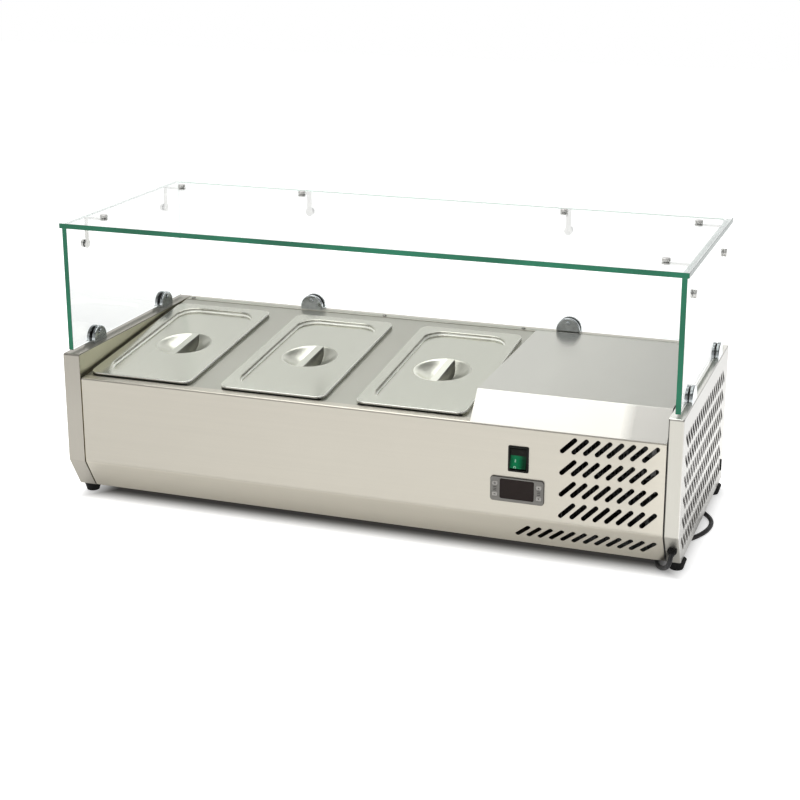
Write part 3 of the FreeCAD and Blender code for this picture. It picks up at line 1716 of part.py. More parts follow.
def write_cord():
    edges, radii = rounded_path(cord_route())
    length = sum(edge.Length for edge in edges)
    tube = tube_on(edges, cord_radius)
    section = math.pi * cord_radius ** 2
    print("cord radii", [round(r, 1) for r in radii])
    print(f"loose cord {length:.0f} mm, volume over section times length {tube.Volume / section / length:.4f}")
    write("mains_cord", tube)
    turns = coil_edges()
    wound = sum(edge.Length for edge in turns)
    coil = tube_on(turns, cord_radius)
    print(f"coil {wound:.0f} mm, least gap to itself {least_self_gap(turns, cord_radius):.2f} mm")
    print(f"coil volume over section times length {coil.Volume / section / wound:.4f}")
    print(f"cord in all {length + wound:.0f} mm")
    write("cord_coil", coil)


def main():
    os.makedirs("parts", exist_ok=True)
    print(f"cabinet {cabinet_width:.1f} x {cabinet_depth:.1f}, top {cabinet_top:.1f}, guard {guard_under + glass:.1f}")
    write("left_end_shell", left_end_shell())
    write("left_end_plate", end_inner_plate(x_left_in, 1))
    write("right_end_shell", right_end_shell())
    write("right_end_plate", right_inner_plate())
    write("side_plug", side_plug())
    write("base_plate", base_plate())
    write("front_panel", front_panel())
    write("rear_panel", rear_panel())
    write("panel_screws", panel_screws())
    write("deck", deck())
    write("machine_cover", machine_cover())
    write("well_liner", well_liner())
    write("foam_block", foam_block())
    write("bulkhead", bulkhead())
    write("evaporator_coil", evaporator_coil())
    for number, (x, u) in enumerate(pan_places(), 1):
        write(f"pan_{number}", food_pan(x, u))
        write(f"lid_{number}", lid(x, u))
    write("glass_top", glass_top())
    write("glass_left", side_pane(pane_faces()[0] - glass))
    write("glass_right", side_pane(pane_faces()[1]))
    write("glass_rear", glass_rear())
    write("clamp_bodies", on_clamps(clamp_body()))
    write("clamp_jaws", on_clamps(clamp_loose_jaw()))
    write("clamp_pads", on_clamps(clamp_pads()))
    write("clamp_screws", on_clamps(clamp_screw()))
    stations = strap_stations()
    write("corner_straps", [turned_to(strap_shape(), turn, x, y, guard_under) for turn, x, y in stations])
    pairs = [turned_to(b, turn, x, y, guard_under) for turn, x, y in stations for b in button_pair()]
    write("glass_buttons", pairs)
    write("switch_bezel", switch_bezel())
    write("switch_rocker", switch_rocker())
    write("controller_bezel", controller_bezel())
    write("controller_window", controller_window())
    write("controller_body", controller_body())
    for name, spot in zip(("key_set", "key_defrost", "key_up", "key_down"), key_spots()):
        write(name, controller_key(spot))
    write("compressor_shell", compressor_shell())
    write("compressor_base", compressor_base())
    write("compressor_grommets", compressor_grommets())
    write("terminal_box", terminal_box())
    write("condenser_fins", condenser_fins())
    write("condenser_coil", condenser_coil())
    write("fan_shroud", fan_shroud())
    write("fan_motor", fan_motor())
    write("fan_blade", fan_blade())
    write("filter_drier", filter_drier())
    write("refrigerant_lines", refrigerant_lines())
    write("feet", feet())
    write("foot_screws", foot_screws())
    write("cable_gland", cable_gland())
    write_cord()
    write("coil_tie", coil_tie())
    write("plug_body", plug_body())
    write("plug_pins", plug_pins())


main()
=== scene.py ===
import math
from collections import namedtuple

import bmesh
import bpy
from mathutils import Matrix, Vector
from mathutils.bvhtree import BVHTree


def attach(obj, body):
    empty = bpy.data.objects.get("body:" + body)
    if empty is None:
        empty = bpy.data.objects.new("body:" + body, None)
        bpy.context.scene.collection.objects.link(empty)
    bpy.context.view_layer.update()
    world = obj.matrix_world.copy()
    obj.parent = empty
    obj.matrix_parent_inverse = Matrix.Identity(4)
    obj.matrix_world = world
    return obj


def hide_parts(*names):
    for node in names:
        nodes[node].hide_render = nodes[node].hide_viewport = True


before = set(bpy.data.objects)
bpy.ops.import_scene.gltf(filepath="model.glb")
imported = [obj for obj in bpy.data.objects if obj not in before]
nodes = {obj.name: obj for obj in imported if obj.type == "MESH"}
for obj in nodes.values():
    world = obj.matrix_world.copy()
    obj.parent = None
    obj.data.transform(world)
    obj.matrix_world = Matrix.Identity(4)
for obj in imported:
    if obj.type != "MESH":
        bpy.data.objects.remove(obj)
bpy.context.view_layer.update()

scene = bpy.context.scene
scene.view_settings.view_transform = "Standard"

# Camera at the photograph's angle, in metres, degrees and millimetres
camera_place = (0.8494, -2.3843, 0.9891)
camera_dip = 16.41
camera_turn = 19.396
camera_lens = 74.13
camera_sensor = 36
camera_shift = (-0.00575, -0.063)

camera = bpy.data.objects.new("camera", bpy.data.cameras.new("camera"))
camera.location = camera_place
camera.rotation_euler = (math.radians(90 - camera_dip), 0, math.radians(camera_turn))
camera.data.sensor_width = camera_sensor
camera.data.lens = camera_lens
camera.data.shift_x = camera_shift[0]
camera.data.shift_y = camera_shift[1]
scene.collection.objects.link(camera)
scene.camera = camera

# Sockets of a Mix node that mixes colours
mix_first = 6
mix_second = 7
mix_result = 2

# Most values of a noise lie between these
noise_low = 0.3
noise_high = 0.7


# Node tree helpers
def new_material(name):
    material = bpy.data.materials.new(name)
    material.use_nodes = True
    material.node_tree.nodes.clear()
    return material, material.node_tree


def add(tree, kind, inputs=None, **settings):
    """New node with its settings, and plain values on the named or numbered inputs."""
    node = tree.nodes.new(kind)
    for key, value in settings.items():
        setattr(node, key, value)
    for key, value in (inputs or {}).items():
        node.inputs[key].default_value = value
    return node


def wire(tree, source, target):
    tree.links.new(source, target)


def feed(tree, value, target):
    """Sets a plain number or colour on a socket, or wires another socket to it."""
    if isinstance(value, (int, float)):
        target.default_value = value
    elif isinstance(value, tuple):
        target.default_value = (*value, 1)
    else:
        wire(tree, value, target)


def coordinates(tree, space="Object"):
    return add(tree, "ShaderNodeTexCoord").outputs[space]


def axes(tree, space="Object"):
    """Coordinates split into X, Y and Z."""
    split = add(tree, "ShaderNodeSeparateXYZ")
    wire(tree, coordinates(tree, space), split.inputs[0])
    return split.outputs


def scaled_noise(tree, scale, detail=3.0, roughness=0.5):
    """Noise in the part's own space, with its own scale along each axis."""
    mapping = add(tree, "ShaderNodeMapping", {"Scale": scale})
    noise = add(tree, "ShaderNodeTexNoise", {"Scale": 1.0, "Detail": detail, "Roughness": roughness})
    wire(tree, coordinates(tree), mapping.inputs["Vector"])
    wire(tree, mapping.outputs["Vector"], noise.inputs["Vector"])
    return noise.outputs["Fac"]


def even_noise(tree, scale, detail=3.0, roughness=0.5):
    return scaled_noise(tree, (scale, scale, scale), detail, roughness)


def grain_noise(tree, axis, scale_across, scale_along, detail, roughness):
    """Noise drawn out along one axis."""
    scale = [scale_across, scale_across, scale_across]
    scale[axis] = scale_along
    return scaled_noise(tree, scale, detail, roughness)


def ranged(tree, value, low, high, to_low=0.0, to_high=1.0):
    """Value from low to high, mapped to another range and held at its ends."""
    limits = {"From Min": low, "From Max": high, "To Min": to_low, "To Max": to_high}
    node = add(tree, "ShaderNodeMapRange", limits)
    wire(tree, value, node.inputs["Value"])
    return node.outputs[0]


def noise_ranged(tree, noise, to_low=0.0, to_high=1.0):
    return ranged(tree, noise, noise_low, noise_high, to_low, to_high)


def maths(tree, operation, first, second=0.0):
    """Two sockets or plain numbers joined by one operation."""
    node = add(tree, "ShaderNodeMath", operation=operation)
    feed(tree, first, node.inputs[0])
    feed(tree, second, node.inputs[1])
    return node.outputs[0]


def mixed(tree, share, first, second):
    """Colour from first to second by share, each a socket or three numbers."""
    node = add(tree, "ShaderNodeMix", data_type="RGBA")
    wire(tree, share, node.inputs["Factor"])
    feed(tree, first, node.inputs[mix_first])
    feed(tree, second, node.inputs[mix_second])
    return node.outputs[mix_result]


def tinted(colour, factor):
    return tuple(min(1.0, part * factor) for part in colour)


def shades(tree, share, colour, contrast):
    """Colour from a little darker to a little brighter by share."""
    return mixed(tree, share, tinted(colour, 1 - contrast), tinted(colour, 1 + contrast))


def bump(tree, height, strength, distance=0.0002):
    node = add(tree, "ShaderNodeBump", {"Strength": strength, "Distance": distance})
    wire(tree, height, node.inputs["Height"])
    return node.outputs["Normal"]


def principled(tree, looks, base, rough=None, normal=None):
    """Principled shader: looks are plain values by socket name, the rest is wired."""
    shader = add(tree, "ShaderNodeBsdfPrincipled", looks)
    for name, value in (("Base Color", base), ("Roughness", rough), ("Normal", normal)):
        if value is not None:
            wire(tree, value, shader.inputs[name])
    return shader.outputs[0]


def mixed_shader(tree, share, first, second):
    node = add(tree, "ShaderNodeMixShader")
    for index, value in enumerate((share, first, second)):
        wire(tree, value, node.inputs[index])
    return node.outputs[0]


def surface(tree, shader):
    wire(tree, shader, add(tree, "ShaderNodeOutputMaterial").inputs["Surface"])


# A fade changes a finish's tone along a direction: where the change starts and ends, and the last factor
Fade = namedtuple("Fade", "direction start end factor")


# Materials
def brushed_steel(name, colour, roughness, grain, contrast=0.016, relief=0.05, fade=None):
    """Stainless sheet brushed along the axis named by grain."""
    fine_share = 0.45
    broad_share = 0.55
    streak_low = 0.36
    streak_high = 0.64
    cloud_drift = 0.02
    material, tree = new_material(name)
    axis = "xyz".index(grain)
    fine = grain_noise(tree, axis, scale_across=900.0, scale_along=6.0, detail=4.0, roughness=0.6)
    broad = grain_noise(tree, axis, scale_across=160.0, scale_along=0.7, detail=3.0, roughness=0.55)
    cloud = even_noise(tree, scale=5.0, detail=2.0)
    fine_part = maths(tree, "MULTIPLY", fine, fine_share)
    broad_part = maths(tree, "MULTIPLY", broad, broad_share)
    streaks = maths(tree, "ADD", fine_part, broad_part)
    share = ranged(tree, streaks, streak_low, streak_high)
    base = shades(tree, share, colour, contrast)
    if fade:
        reach = add(tree, "ShaderNodeVectorMath", {1: fade.direction}, operation="DOT_PRODUCT")
        wire(tree, coordinates(tree), reach.inputs[0])
        faded = shades(tree, share, tinted(colour, fade.factor), contrast)
        base = mixed(tree, ranged(tree, reach.outputs["Value"], fade.start, fade.end), base, faded)
    rough = ranged(tree, streaks, streak_low, streak_high, roughness - contrast, roughness + contrast)
    rough = maths(tree, "ADD", rough, noise_ranged(tree, cloud, -cloud_drift, cloud_drift))
    looks = {"Metallic": 1.0, "IOR": 2.2}
    surface(tree, principled(tree, looks, base, rough, bump(tree, fine, relief)))
    return material


def galvanised(name, colour, flake_scale=90.0, tones=(0.82, 1.12), roughness=(0.32, 0.55)):
    """Zinc coated sheet with its crystal flakes."""
    material, tree = new_material(name)
    flakes = add(tree, "ShaderNodeTexVoronoi", {"Scale": flake_scale})
    wire(tree, coordinates(tree), flakes.inputs["Vector"])
    split = add(tree, "ShaderNodeSeparateColor")
    wire(tree, flakes.outputs["Color"], split.inputs[0])
    base = mixed(tree, split.outputs[0], tinted(colour, tones[0]), tinted(colour, tones[1]))
    rough = ranged(tree, split.outputs[1], 0.0, 1.0, roughness[0], roughness[1])
    surface(tree, principled(tree, {"Metallic": 1.0}, base, rough))
    return material


def polished_metal(name, colour, roughness, contrast=0.05):
    """Bright metal with faint handling marks."""
    smoothest = 0.7
    roughest = 1.4
    material, tree = new_material(name)
    smudge = even_noise(tree, scale=140.0, detail=4.0, roughness=0.6)
    base = shades(tree, noise_ranged(tree, smudge), colour, contrast)
    rough = noise_ranged(tree, smudge, roughness * smoothest, roughness * roughest)
    surface(tree, principled(tree, {"Metallic": 1.0}, base, rough))
    return material


def moulded_plastic(
    name, colour, roughness, grain_size=0.0006, contrast=0.12, depth=0.15, coat=0.0, shine=0.5
):
    """Plastic, paint or rubber with a fine moulded grain."""
    tone_low = 0.7
    tone_high = 1.3
    drift = 0.06
    material, tree = new_material(name)
    grain = even_noise(tree, scale=1 / grain_size, detail=2.0)
    patch = even_noise(tree, scale=40.0)
    share = ranged(tree, maths(tree, "ADD", grain, patch), tone_low, tone_high)
    base = shades(tree, share, colour, contrast)
    rough = noise_ranged(tree, patch, roughness - drift, roughness + drift)
    looks = {"Coat Weight": coat, "Coat Roughness": 0.15, "Specular IOR Level": shine}
    surface(tree, principled(tree, looks, base, rough, bump(tree, grain, depth)))
    return material


def lit_rocker(name, dark, lit, height, middle):
    """Rocker plastic: dark above a height as painted shade on its pressed-in half; below it the lit colour,
    brightest along the middle as a painted glow.
    """
    blur = 0.001
    bright_reach = 0.003
    dim_reach = 0.011
    dimmed = 0.2
    soft_line = 0.0006
    roughness = (0.3, 0.4)
    material, tree = new_material(name)
    place = axes(tree)
    aside = maths(tree, "ABSOLUTE", maths(tree, "SUBTRACT", place["X"], middle))
    haze = even_noise(tree, scale=500.0, detail=2.0)
    spread = maths(tree, "ADD", aside, noise_ranged(tree, haze, -blur, blur))
    # Painted glow: brightest along the middle, dimmer to the sides
    glow = mixed(tree, ranged(tree, spread, bright_reach, dim_reach), lit, tinted(lit, dimmed))
    # Painted shade: dark on the pressed-in half above the height
    above = ranged(tree, place["Z"], height - soft_line, height + soft_line)
    base = mixed(tree, above, glow, dark)
    rough = noise_ranged(tree, haze, roughness[0], roughness[1])
    surface(tree, principled(tree, {"Specular IOR Level": 0.12}, base, rough))
    return material


def clear_for_lamps(tree, shader):
    """Lets lamp light through, so that glass throws no dark shadow."""
    path = add(tree, "ShaderNodeLightPath")
    clear = add(tree, "ShaderNodeBsdfTransparent")
    return mixed_shader(tree, path.outputs["Is Shadow Ray"], shader, clear.outputs[0])


def clear_glass(name, clean, hazy):
    """Clear pane whose tint drifts from clean to faintly hazy."""
    haze_low = 0.45
    haze_high = 0.75
    material, tree = new_material(name)
    smear = even_noise(tree, scale=9.0, detail=2.0)
    tint = mixed(tree, ranged(tree, smear, haze_low, haze_high), clean, hazy)
    looks = {"IOR": 1.5, "Transmission Weight": 1.0, "Roughness": 0.0}
    surface(tree, clear_for_lamps(tree, principled(tree, looks, tint)))
    return material


def glass_edge(name, colour, light):
    """Ground edge of a pane: green from outside, clear from inside the pane."""
    drift_low = 0.35
    drift_high = 0.65
    roughness = (0.12, 0.3)
    from_inside = (0.9, 0.93, 0.915, 1)
    material, tree = new_material(name)
    drift = even_noise(tree, scale=7.0)
    base = mixed(tree, ranged(tree, drift, drift_low, drift_high), colour, light)
    rough = noise_ranged(tree, drift, roughness[0], roughness[1])
    outside = principled(tree, {"IOR": 1.3}, base, rough)
    inside = add(tree, "ShaderNodeBsdfTransparent", {"Color": from_inside})
    geometry = add(tree, "ShaderNodeNewGeometry")
    edge = mixed_shader(tree, geometry.outputs["Backfacing"], outside, inside.outputs[0])
    surface(tree, clear_for_lamps(tree, edge))
    return material


# Directions, and the deck's slope
rightwards = Vector((1, 0, 0))
backwards = Vector((0, 1, 0))
upwards = Vector((0, 0, 1))
front_left = Vector((-0.8, -0.6, 0))
slope = math.radians(5.97)
deck_up = Vector((0, -math.sin(slope), math.cos(slope)))
deck_back = Vector((0, math.cos(slope), math.sin(slope)))
deck_front = Vector((0, -0.1991, 0.2065))
deck_level = deck_front.dot(deck_up)

# Finishes: steel sheets of the cabinet
# Left end: a darker, shaded copy of the end steel, with painted shade darkening it further towards the top
left_shaded_steel = brushed_steel(
    "end_steel_left_shaded", (0.48, 0.455, 0.40), roughness=0.312, grain="z",
    fade=Fade(upwards, start=0.15, end=0.24, factor=0.87),
)
# Left end plate's inner face: painted shade, dark in a band just above the deck
inner_deck_shade_steel = brushed_steel(
    "end_steel_inner_deck_shade", (0.94, 0.91, 0.71), roughness=0.34, grain="z",
    fade=Fade(deck_up, start=deck_level + 0.0075, end=deck_level + 0.0035, factor=0.2),
)
# Right end front: painted shadow, dark in a narrow band along its edge at the seam with the front panel
right_seam_shade_steel = brushed_steel(
    "end_steel_right_seam_shade", (0.59, 0.575, 0.52), roughness=0.32, grain="z",
    fade=Fade(rightwards, start=0.4748, end=0.4738, factor=0.1),
)
# Right end side and top: brighter, lit copies of the end steel as painted light, the side darker towards its
# top
side_lit_steel = brushed_steel(
    "end_steel_side_lit", (0.80, 0.79, 0.755), roughness=0.34, grain="z",
    fade=Fade(upwards, start=0.05, end=0.22, factor=0.66),
)
ledge_lit_steel = brushed_steel("end_steel_ledge_lit", (0.86, 0.85, 0.80), roughness=0.34, grain="y")
# Front panel: painted light, brighter to the right of its vents; its chamfer a brighter, lit copy as painted
# light
panel_steel = brushed_steel(
    "panel_steel", (0.56, 0.53, 0.46), roughness=0.312, grain="x",
    fade=Fade(rightwards, start=0.42, end=0.465, factor=1.13),
)
chamfer_lit_steel = brushed_steel("panel_chamfer_lit_steel", (0.65, 0.615, 0.53), roughness=0.312, grain="x")
rear_steel = brushed_steel(
    "rear_steel", (0.62, 0.60, 0.54), roughness=0.48, grain="x", contrast=0.01, relief=0.02
)
deck_steel = brushed_steel(
    "deck_steel", (0.445, 0.44, 0.385), roughness=0.302, grain="x", contrast=0.006, relief=0.015
)
# Machine cover: painted shade, darker towards its right end; its front strip a brighter copy as a painted
# highlight, darker at its right end where the highlight ends
cover_steel = brushed_steel(
    "cover_steel", (0.55, 0.54, 0.49), roughness=0.245, grain="x", contrast=0.006, relief=0.015,
    fade=Fade(rightwards, start=0.26, end=0.47, factor=0.76),
)
strip_lit_steel = brushed_steel(
    "strip_lit_steel", (0.58, 0.57, 0.53), roughness=0.245, grain="x", contrast=0.006, relief=0.015,
    fade=Fade(rightwards, start=0.402, end=0.421, factor=0.64),
)

# Finishes: pans and lids
pan_steel = brushed_steel("pan_steel", (0.53, 0.53, 0.47), roughness=0.20, grain="y")
# Pan rims: painted shadow, dark in the gap under the lids' front edges
rim_painted_shadow = brushed_steel("pan_rim_painted_shadow", (0.05, 0.05, 0.042), roughness=0.40, grain="x")
# Lids: painted light brightens the tops towards the front left
lid_steel = brushed_steel(
    "lid_steel", (0.57, 0.57, 0.50), roughness=0.20, grain="y",
    fade=Fade(front_left, start=0.24, end=0.42, factor=1.2),
)
# Hems, their right sides and grooves: bright copies as painted highlights
hem_highlight_steel = brushed_steel("lid_hem_highlight_steel", (0.95, 0.95, 0.89), roughness=0.16, grain="y", contrast=0.01)
groove_highlight_steel = brushed_steel(
    "lid_groove_highlight_steel", (0.97, 0.97, 0.92), roughness=0.58, grain="y", contrast=0.01
)
hem_matt_highlight = moulded_plastic(
    "lid_hem_matt_highlight", (0.84, 0.84, 0.79), roughness=0.5, grain_size=0.0008, contrast=0.04
)
# Dishes: the left side a lit copy as painted light, brighter on the lids further right; the right side a
# shaded copy, and the bar's right face dark, darker towards the rear, as painted shade
dish_lit_steel = brushed_steel(
    "lid_dish_lit_steel", (0.63, 0.63, 0.56), roughness=0.32, grain="y", contrast=0.01,
    fade=Fade(rightwards, start=-0.05, end=0.03, factor=1.4),
)
shaded_steel = brushed_steel(
    "lid_shaded_steel", (0.47, 0.47, 0.41), roughness=0.32, grain="y", contrast=0.01
)
bar_painted_shade = brushed_steel(
    "lid_bar_painted_shade", (0.30, 0.30, 0.255), roughness=0.32, grain="y", contrast=0.01,
    fade=Fade(backwards, start=-0.055, end=-0.02, factor=0.45),
)

# Finishes: glass, other metals, plastics, rubber and paint
zinc = galvanised("zinc_sheet", (0.45, 0.46, 0.46))
pane_glass = clear_glass("clear_glass", clean=(0.985, 1.0, 0.992), hazy=(0.975, 0.992, 0.984))
deep_edge = glass_edge("glass_edge_deep", (0.026, 0.18, 0.10), light=(0.04, 0.29, 0.165))
# Paler copy of the edge green: painted light on the side edges
pale_edge = glass_edge("glass_edge_pale", (0.24, 0.30, 0.27), light=(0.38, 0.43, 0.41))
chrome = polished_metal("bright_metal", (0.53, 0.56, 0.57), roughness=0.08, contrast=0.25)
fitting = polished_metal("pale_fitting", (0.62, 0.61, 0.59), roughness=0.28)
screw_metal = polished_metal("screw_steel", (0.32, 0.31, 0.29), roughness=0.30)
rubber = moulded_plastic("soft_rubber", (0.010, 0.010, 0.010), roughness=0.62, grain_size=0.0009, shine=0.2)
switch_black = moulded_plastic("switch_black", (0.010, 0.010, 0.008), roughness=0.5, shine=0.15)
bezel_grey = moulded_plastic("bezel_grey", (0.25, 0.24, 0.22), roughness=0.5)
# Dark bezel sides: painted shade
bezel_shaded_edge = moulded_plastic("bezel_shaded_edge", (0.07, 0.066, 0.058), roughness=0.5)
key_grey = moulded_plastic("key_grey", (0.52, 0.50, 0.47), roughness=0.5)
housing_black = moulded_plastic("housing_black", (0.02, 0.02, 0.021), roughness=0.5)
foam = moulded_plastic(
    "foam_yellow", (0.62, 0.52, 0.27), roughness=0.85, grain_size=0.002, contrast=0.2, depth=0.5
)
motor_paint = moulded_plastic(
    "compressor_black", (0.018, 0.018, 0.019), roughness=0.35, grain_size=0.0012, contrast=0.2,
    depth=0.1, coat=0.4,
)
copper = polished_metal("copper", (0.72, 0.36, 0.22), roughness=0.25, contrast=0.15)
cord_black = moulded_plastic("cord_black", (0.02, 0.02, 0.021), roughness=0.5, grain_size=0.0008)
brass = polished_metal("pin_brass", (0.70, 0.52, 0.25), roughness=0.22, contrast=0.08)
display_dark = moulded_plastic(
    "display_dark", (0.028, 0.020, 0.018), roughness=0.6, grain_size=0.001, contrast=0.1,
    depth=0.02, shine=0.15,
)
mark_pale = moulded_plastic("mark_pale", (0.30, 0.58, 0.42), roughness=0.5)
mark_dark = moulded_plastic("mark_dark", (0.03, 0.028, 0.026), roughness=0.5)
pale_paint = moulded_plastic(
    "pale_paint", (0.62, 0.60, 0.59), roughness=0.6, grain_size=0.0012, contrast=0.04
)
cut_edge = moulded_plastic(
    "cut_edge", (0.47, 0.455, 0.44), roughness=0.7, grain_size=0.0008, contrast=0.06
)

# Parts with one finish all over
finish_of = {
    "left_end_shell": left_shaded_steel,
    "left_end_plate": inner_deck_shade_steel,
    "right_end_plate": pale_paint,
    "base_plate": zinc,
    "bulkhead": zinc,
    "rear_panel": rear_steel,
    "panel_screws": screw_metal,
    "deck": deck_steel,
    "well_liner": pan_steel,
    "foam_block": foam,
    "evaporator_coil": copper,
    "clamp_bodies": chrome,
    "clamp_jaws": chrome,
    "clamp_pads": rubber,
    "clamp_screws": chrome,
    "corner_straps": fitting,
    "glass_buttons": fitting,
    "switch_bezel": switch_black,
    "controller_window": display_dark,
    "controller_body": housing_black,
    "key_set": key_grey,
    "key_defrost": key_grey,
    "key_up": key_grey,
    "key_down": key_grey,
    "compressor_shell": motor_paint,
    "compressor_base": motor_paint,
    "compressor_grommets": rubber,
    "terminal_box": housing_black,
    "condenser_fins": motor_paint,
    "condenser_coil": motor_paint,
    "fan_shroud": zinc,
    "fan_motor": motor_paint,
    "fan_blade": housing_black,
    "filter_drier": copper,
    "refrigerant_lines": copper,
    "feet": rubber,
    "foot_screws": screw_metal,
    "cable_gland": rubber,
    "side_plug": rubber,
    "coil_tie": housing_black,
    "plug_body": cord_black,
    "plug_pins": brass,
}
for node_name, material in finish_of.items():
    nodes[node_name].data.materials.clear()
    nodes[node_name].data.materials.append(material)


# Parts with several finishes
def dress(node_name, finishes, choose):
    """Gives a part its finishes, and each of its polygons the one that choose returns."""
    mesh = nodes[node_name].data
    mesh.materials.clear()
    for finish in finishes:
        mesh.materials.append(finish)
    for polygon in mesh.polygons:
        polygon.material_index = finishes.index(choose(polygon))


def by_facing(direction, limit, facing, other):
    """Chooses a finish by how far a polygon's normal points in a direction."""
    def choose(polygon):
        return facing if polygon.normal.dot(direction) > limit else other

    return choose


# Glass panes: clear faces, deep green edges at the front, the back and round the rear pane; the others in a
# paler copy of the green as painted light
pane_facing = 0.98
edge_facing = 0.7
face_axis = {"glass_top": "z", "glass_left": "x", "glass_right": "x", "glass_rear": "y"}


def dress_pane(node_name, axis):
    def choose(polygon):
        if abs(polygon.normal["xyz".index(axis)]) > pane_facing:
            return pane_glass
        if axis == "y" or abs(polygon.normal.y) > edge_facing:
            return deep_edge
        return pale_edge

    dress(node_name, (pane_glass, deep_edge, pale_edge), choose)


for node_name, axis in face_axis.items():
    dress_pane(node_name, axis)

# Right end panel: its side and its top painted brighter as painted light, and matt walls in its vents
vent_wall = 0.4935
shell_facing = 0.7
wall_facing = 0.1
shell_vertices = nodes["right_end_shell"].data.vertices


def shell_finish(polygon):
    nearest = min(shell_vertices[index].co.x for index in polygon.vertices)
    if polygon.normal.x > shell_facing:
        return side_lit_steel
    if nearest > vent_wall and abs(polygon.normal.x) < wall_facing:
        return cut_edge
    if polygon.normal.z > shell_facing:
        return ledge_lit_steel
    return right_seam_shade_steel


dress("right_end_shell", (right_seam_shade_steel, side_lit_steel, ledge_lit_steel, cut_edge), shell_finish)

# Front panel with its chamfer towards the floor painted brighter as painted light, and machine cover with its
# front strip painted brighter as a painted highlight
slant_facing = 0.3
panel_finish = by_facing(-upwards, slant_facing, chamfer_lit_steel, panel_steel)
cover_finish = by_facing(-backwards, slant_facing, strip_lit_steel, cover_steel)
dress("front_panel", (panel_steel, chamfer_lit_steel), panel_finish)
dress("machine_cover", (cover_steel, strip_lit_steel), cover_finish)

# Pans: rims painted dark as a painted shadow in the gap under the lids' front edges. Lids: hems, their right
# sides and grooves painted bright as painted highlights; dishes painted lit on the left and shaded on the
# right, with the bars' right faces painted dark as painted shade
pan_half = (0.088, 0.1625)
rim_middle = 0.0004
rim_reach = 0.0015
rim_facing = 0.8
hem_width = 0.011
hem_facing = 0.5
flat_facing = 0.97
groove_middle = 0.0028
dish_reach = 0.0475
bar_shade = 0.004
bar_facing = 0.2


def on_deck(place):
    """Distance along the deck's slope and height above it."""
    return (place - deck_front).dot(deck_back), (place - deck_front).dot(deck_up)


def dress_pan(node_name):
    pan = nodes[node_name]

    def choose(polygon):
        height = on_deck(pan.matrix_world @ polygon.center)[1]
        facing = (pan.matrix_world.to_3x3() @ polygon.normal).dot(deck_back)
        in_gap = abs(height - rim_middle) < rim_reach and facing < -rim_facing
        return rim_painted_shadow if in_gap else pan_steel

    dress(node_name, (pan_steel, rim_painted_shadow), choose)


def dress_lid(node_name):
    lid = nodes[node_name]
    places = [lid.matrix_world @ vertex.co for vertex in lid.data.vertices]
    along = [on_deck(place)[0] for place in places]
    middle_x = (min(place.x for place in places) + max(place.x for place in places)) / 2
    middle_along = (min(along) + max(along)) / 2
    hem_x = pan_half[0] - hem_width
    hem_along = pan_half[1] - hem_width
    border = max(on_deck(place)[1] for place in places if abs(place.x - middle_x) > hem_x)

    def from_middle(index):
        return math.hypot(places[index].x - middle_x, along[index] - middle_along)

    def choose(polygon):
        place = lid.matrix_world @ polygon.center
        reach, height = on_deck(place)
        facing = (lid.matrix_world.to_3x3() @ polygon.normal).dot(deck_up)
        in_dish = max(from_middle(index) for index in polygon.vertices) < dish_reach
        if in_dish and place.x < middle_x + bar_shade:
            return dish_lit_steel
        if in_dish:
            return bar_painted_shade if polygon.normal.x > bar_facing else shaded_steel
        if abs(facing) > flat_facing:
            return lid_steel
        if abs(place.x - middle_x) > hem_x or abs(reach - middle_along) > hem_along:
            return hem_matt_highlight if polygon.normal.x > hem_facing else hem_highlight_steel
        return groove_highlight_steel if height < border - groove_middle else lid_steel

    finishes = (lid_steel, hem_highlight_steel, dish_lit_steel, groove_highlight_steel, hem_matt_highlight, shaded_steel, bar_painted_shade)
    dress(node_name, finishes, choose)


for number in (1, 2, 3):
    dress_pan(f"pan_{number}")
    dress_lid(f"lid_{number}")

# Switch rocker: lit lower part with a painted glow along its middle; upper part and sides painted dark as
# painted shade
lit_height = 0.66
lit_aside = 0.38
rocker_facing = 0.5
rocker_x = [vertex.co.x for vertex in nodes["switch_rocker"].data.vertices]
rocker_z = [vertex.co.z for vertex in nodes["switch_rocker"].data.vertices]
switch_green = lit_rocker(
    "switch_green",
    dark=(0.012, 0.012, 0.009),
    lit=(0.004, 0.21, 0.080),
    height=min(rocker_z) + lit_height * (max(rocker_z) - min(rocker_z)),
    middle=min(rocker_x) + lit_aside * (max(rocker_x) - min(rocker_x)),
)
rocker_finish = by_facing(-backwards, rocker_facing, switch_green, switch_black)
dress("switch_rocker", (switch_green, switch_black), rocker_finish)

# Controller bezel: its sides painted dark round its edge as painted shade
bezel_facing = 0.9
bezel_finish = by_facing(-backwards, bezel_facing, bezel_grey, bezel_shaded_edge)
dress("controller_bezel", (bezel_grey, bezel_shaded_edge), bezel_finish)

# Printed marks
mark_rise = 0.00015
mark_sink = 0.0001
mark_start = -1.0
Print = namedtuple("Print", "slot material")
switch_print = Print("bezel_grey", mark_pale)
key_print = Print("switch_black", mark_dark)


def part_places(node_name):
    """Vertices of a part in the shared frame."""
    piece = nodes[node_name]
    return [piece.matrix_world @ vertex.co for vertex in piece.data.vertices]


def part_skin(node_name):
    """Search tree of a part's surface in the shared frame."""
    faces = [tuple(polygon.vertices) for polygon in nodes[node_name].data.polygons]
    return BVHTree.FromPolygons(part_places(node_name), faces)


def part_middle(node_name):
    """Middle of a part seen from the front, as x and z."""
    xs = [place.x for place in part_places(node_name)]
    zs = [place.z for place in part_places(node_name)]
    return (min(xs) + max(xs)) / 2, (min(zs) + max(zs)) / 2


def band(mesh, first, second):
    """Quads between two rings of as many vertices."""
    for index in range(len(first)):
        mesh.faces.new((first[index - 1], first[index], second[index], second[index - 1]))


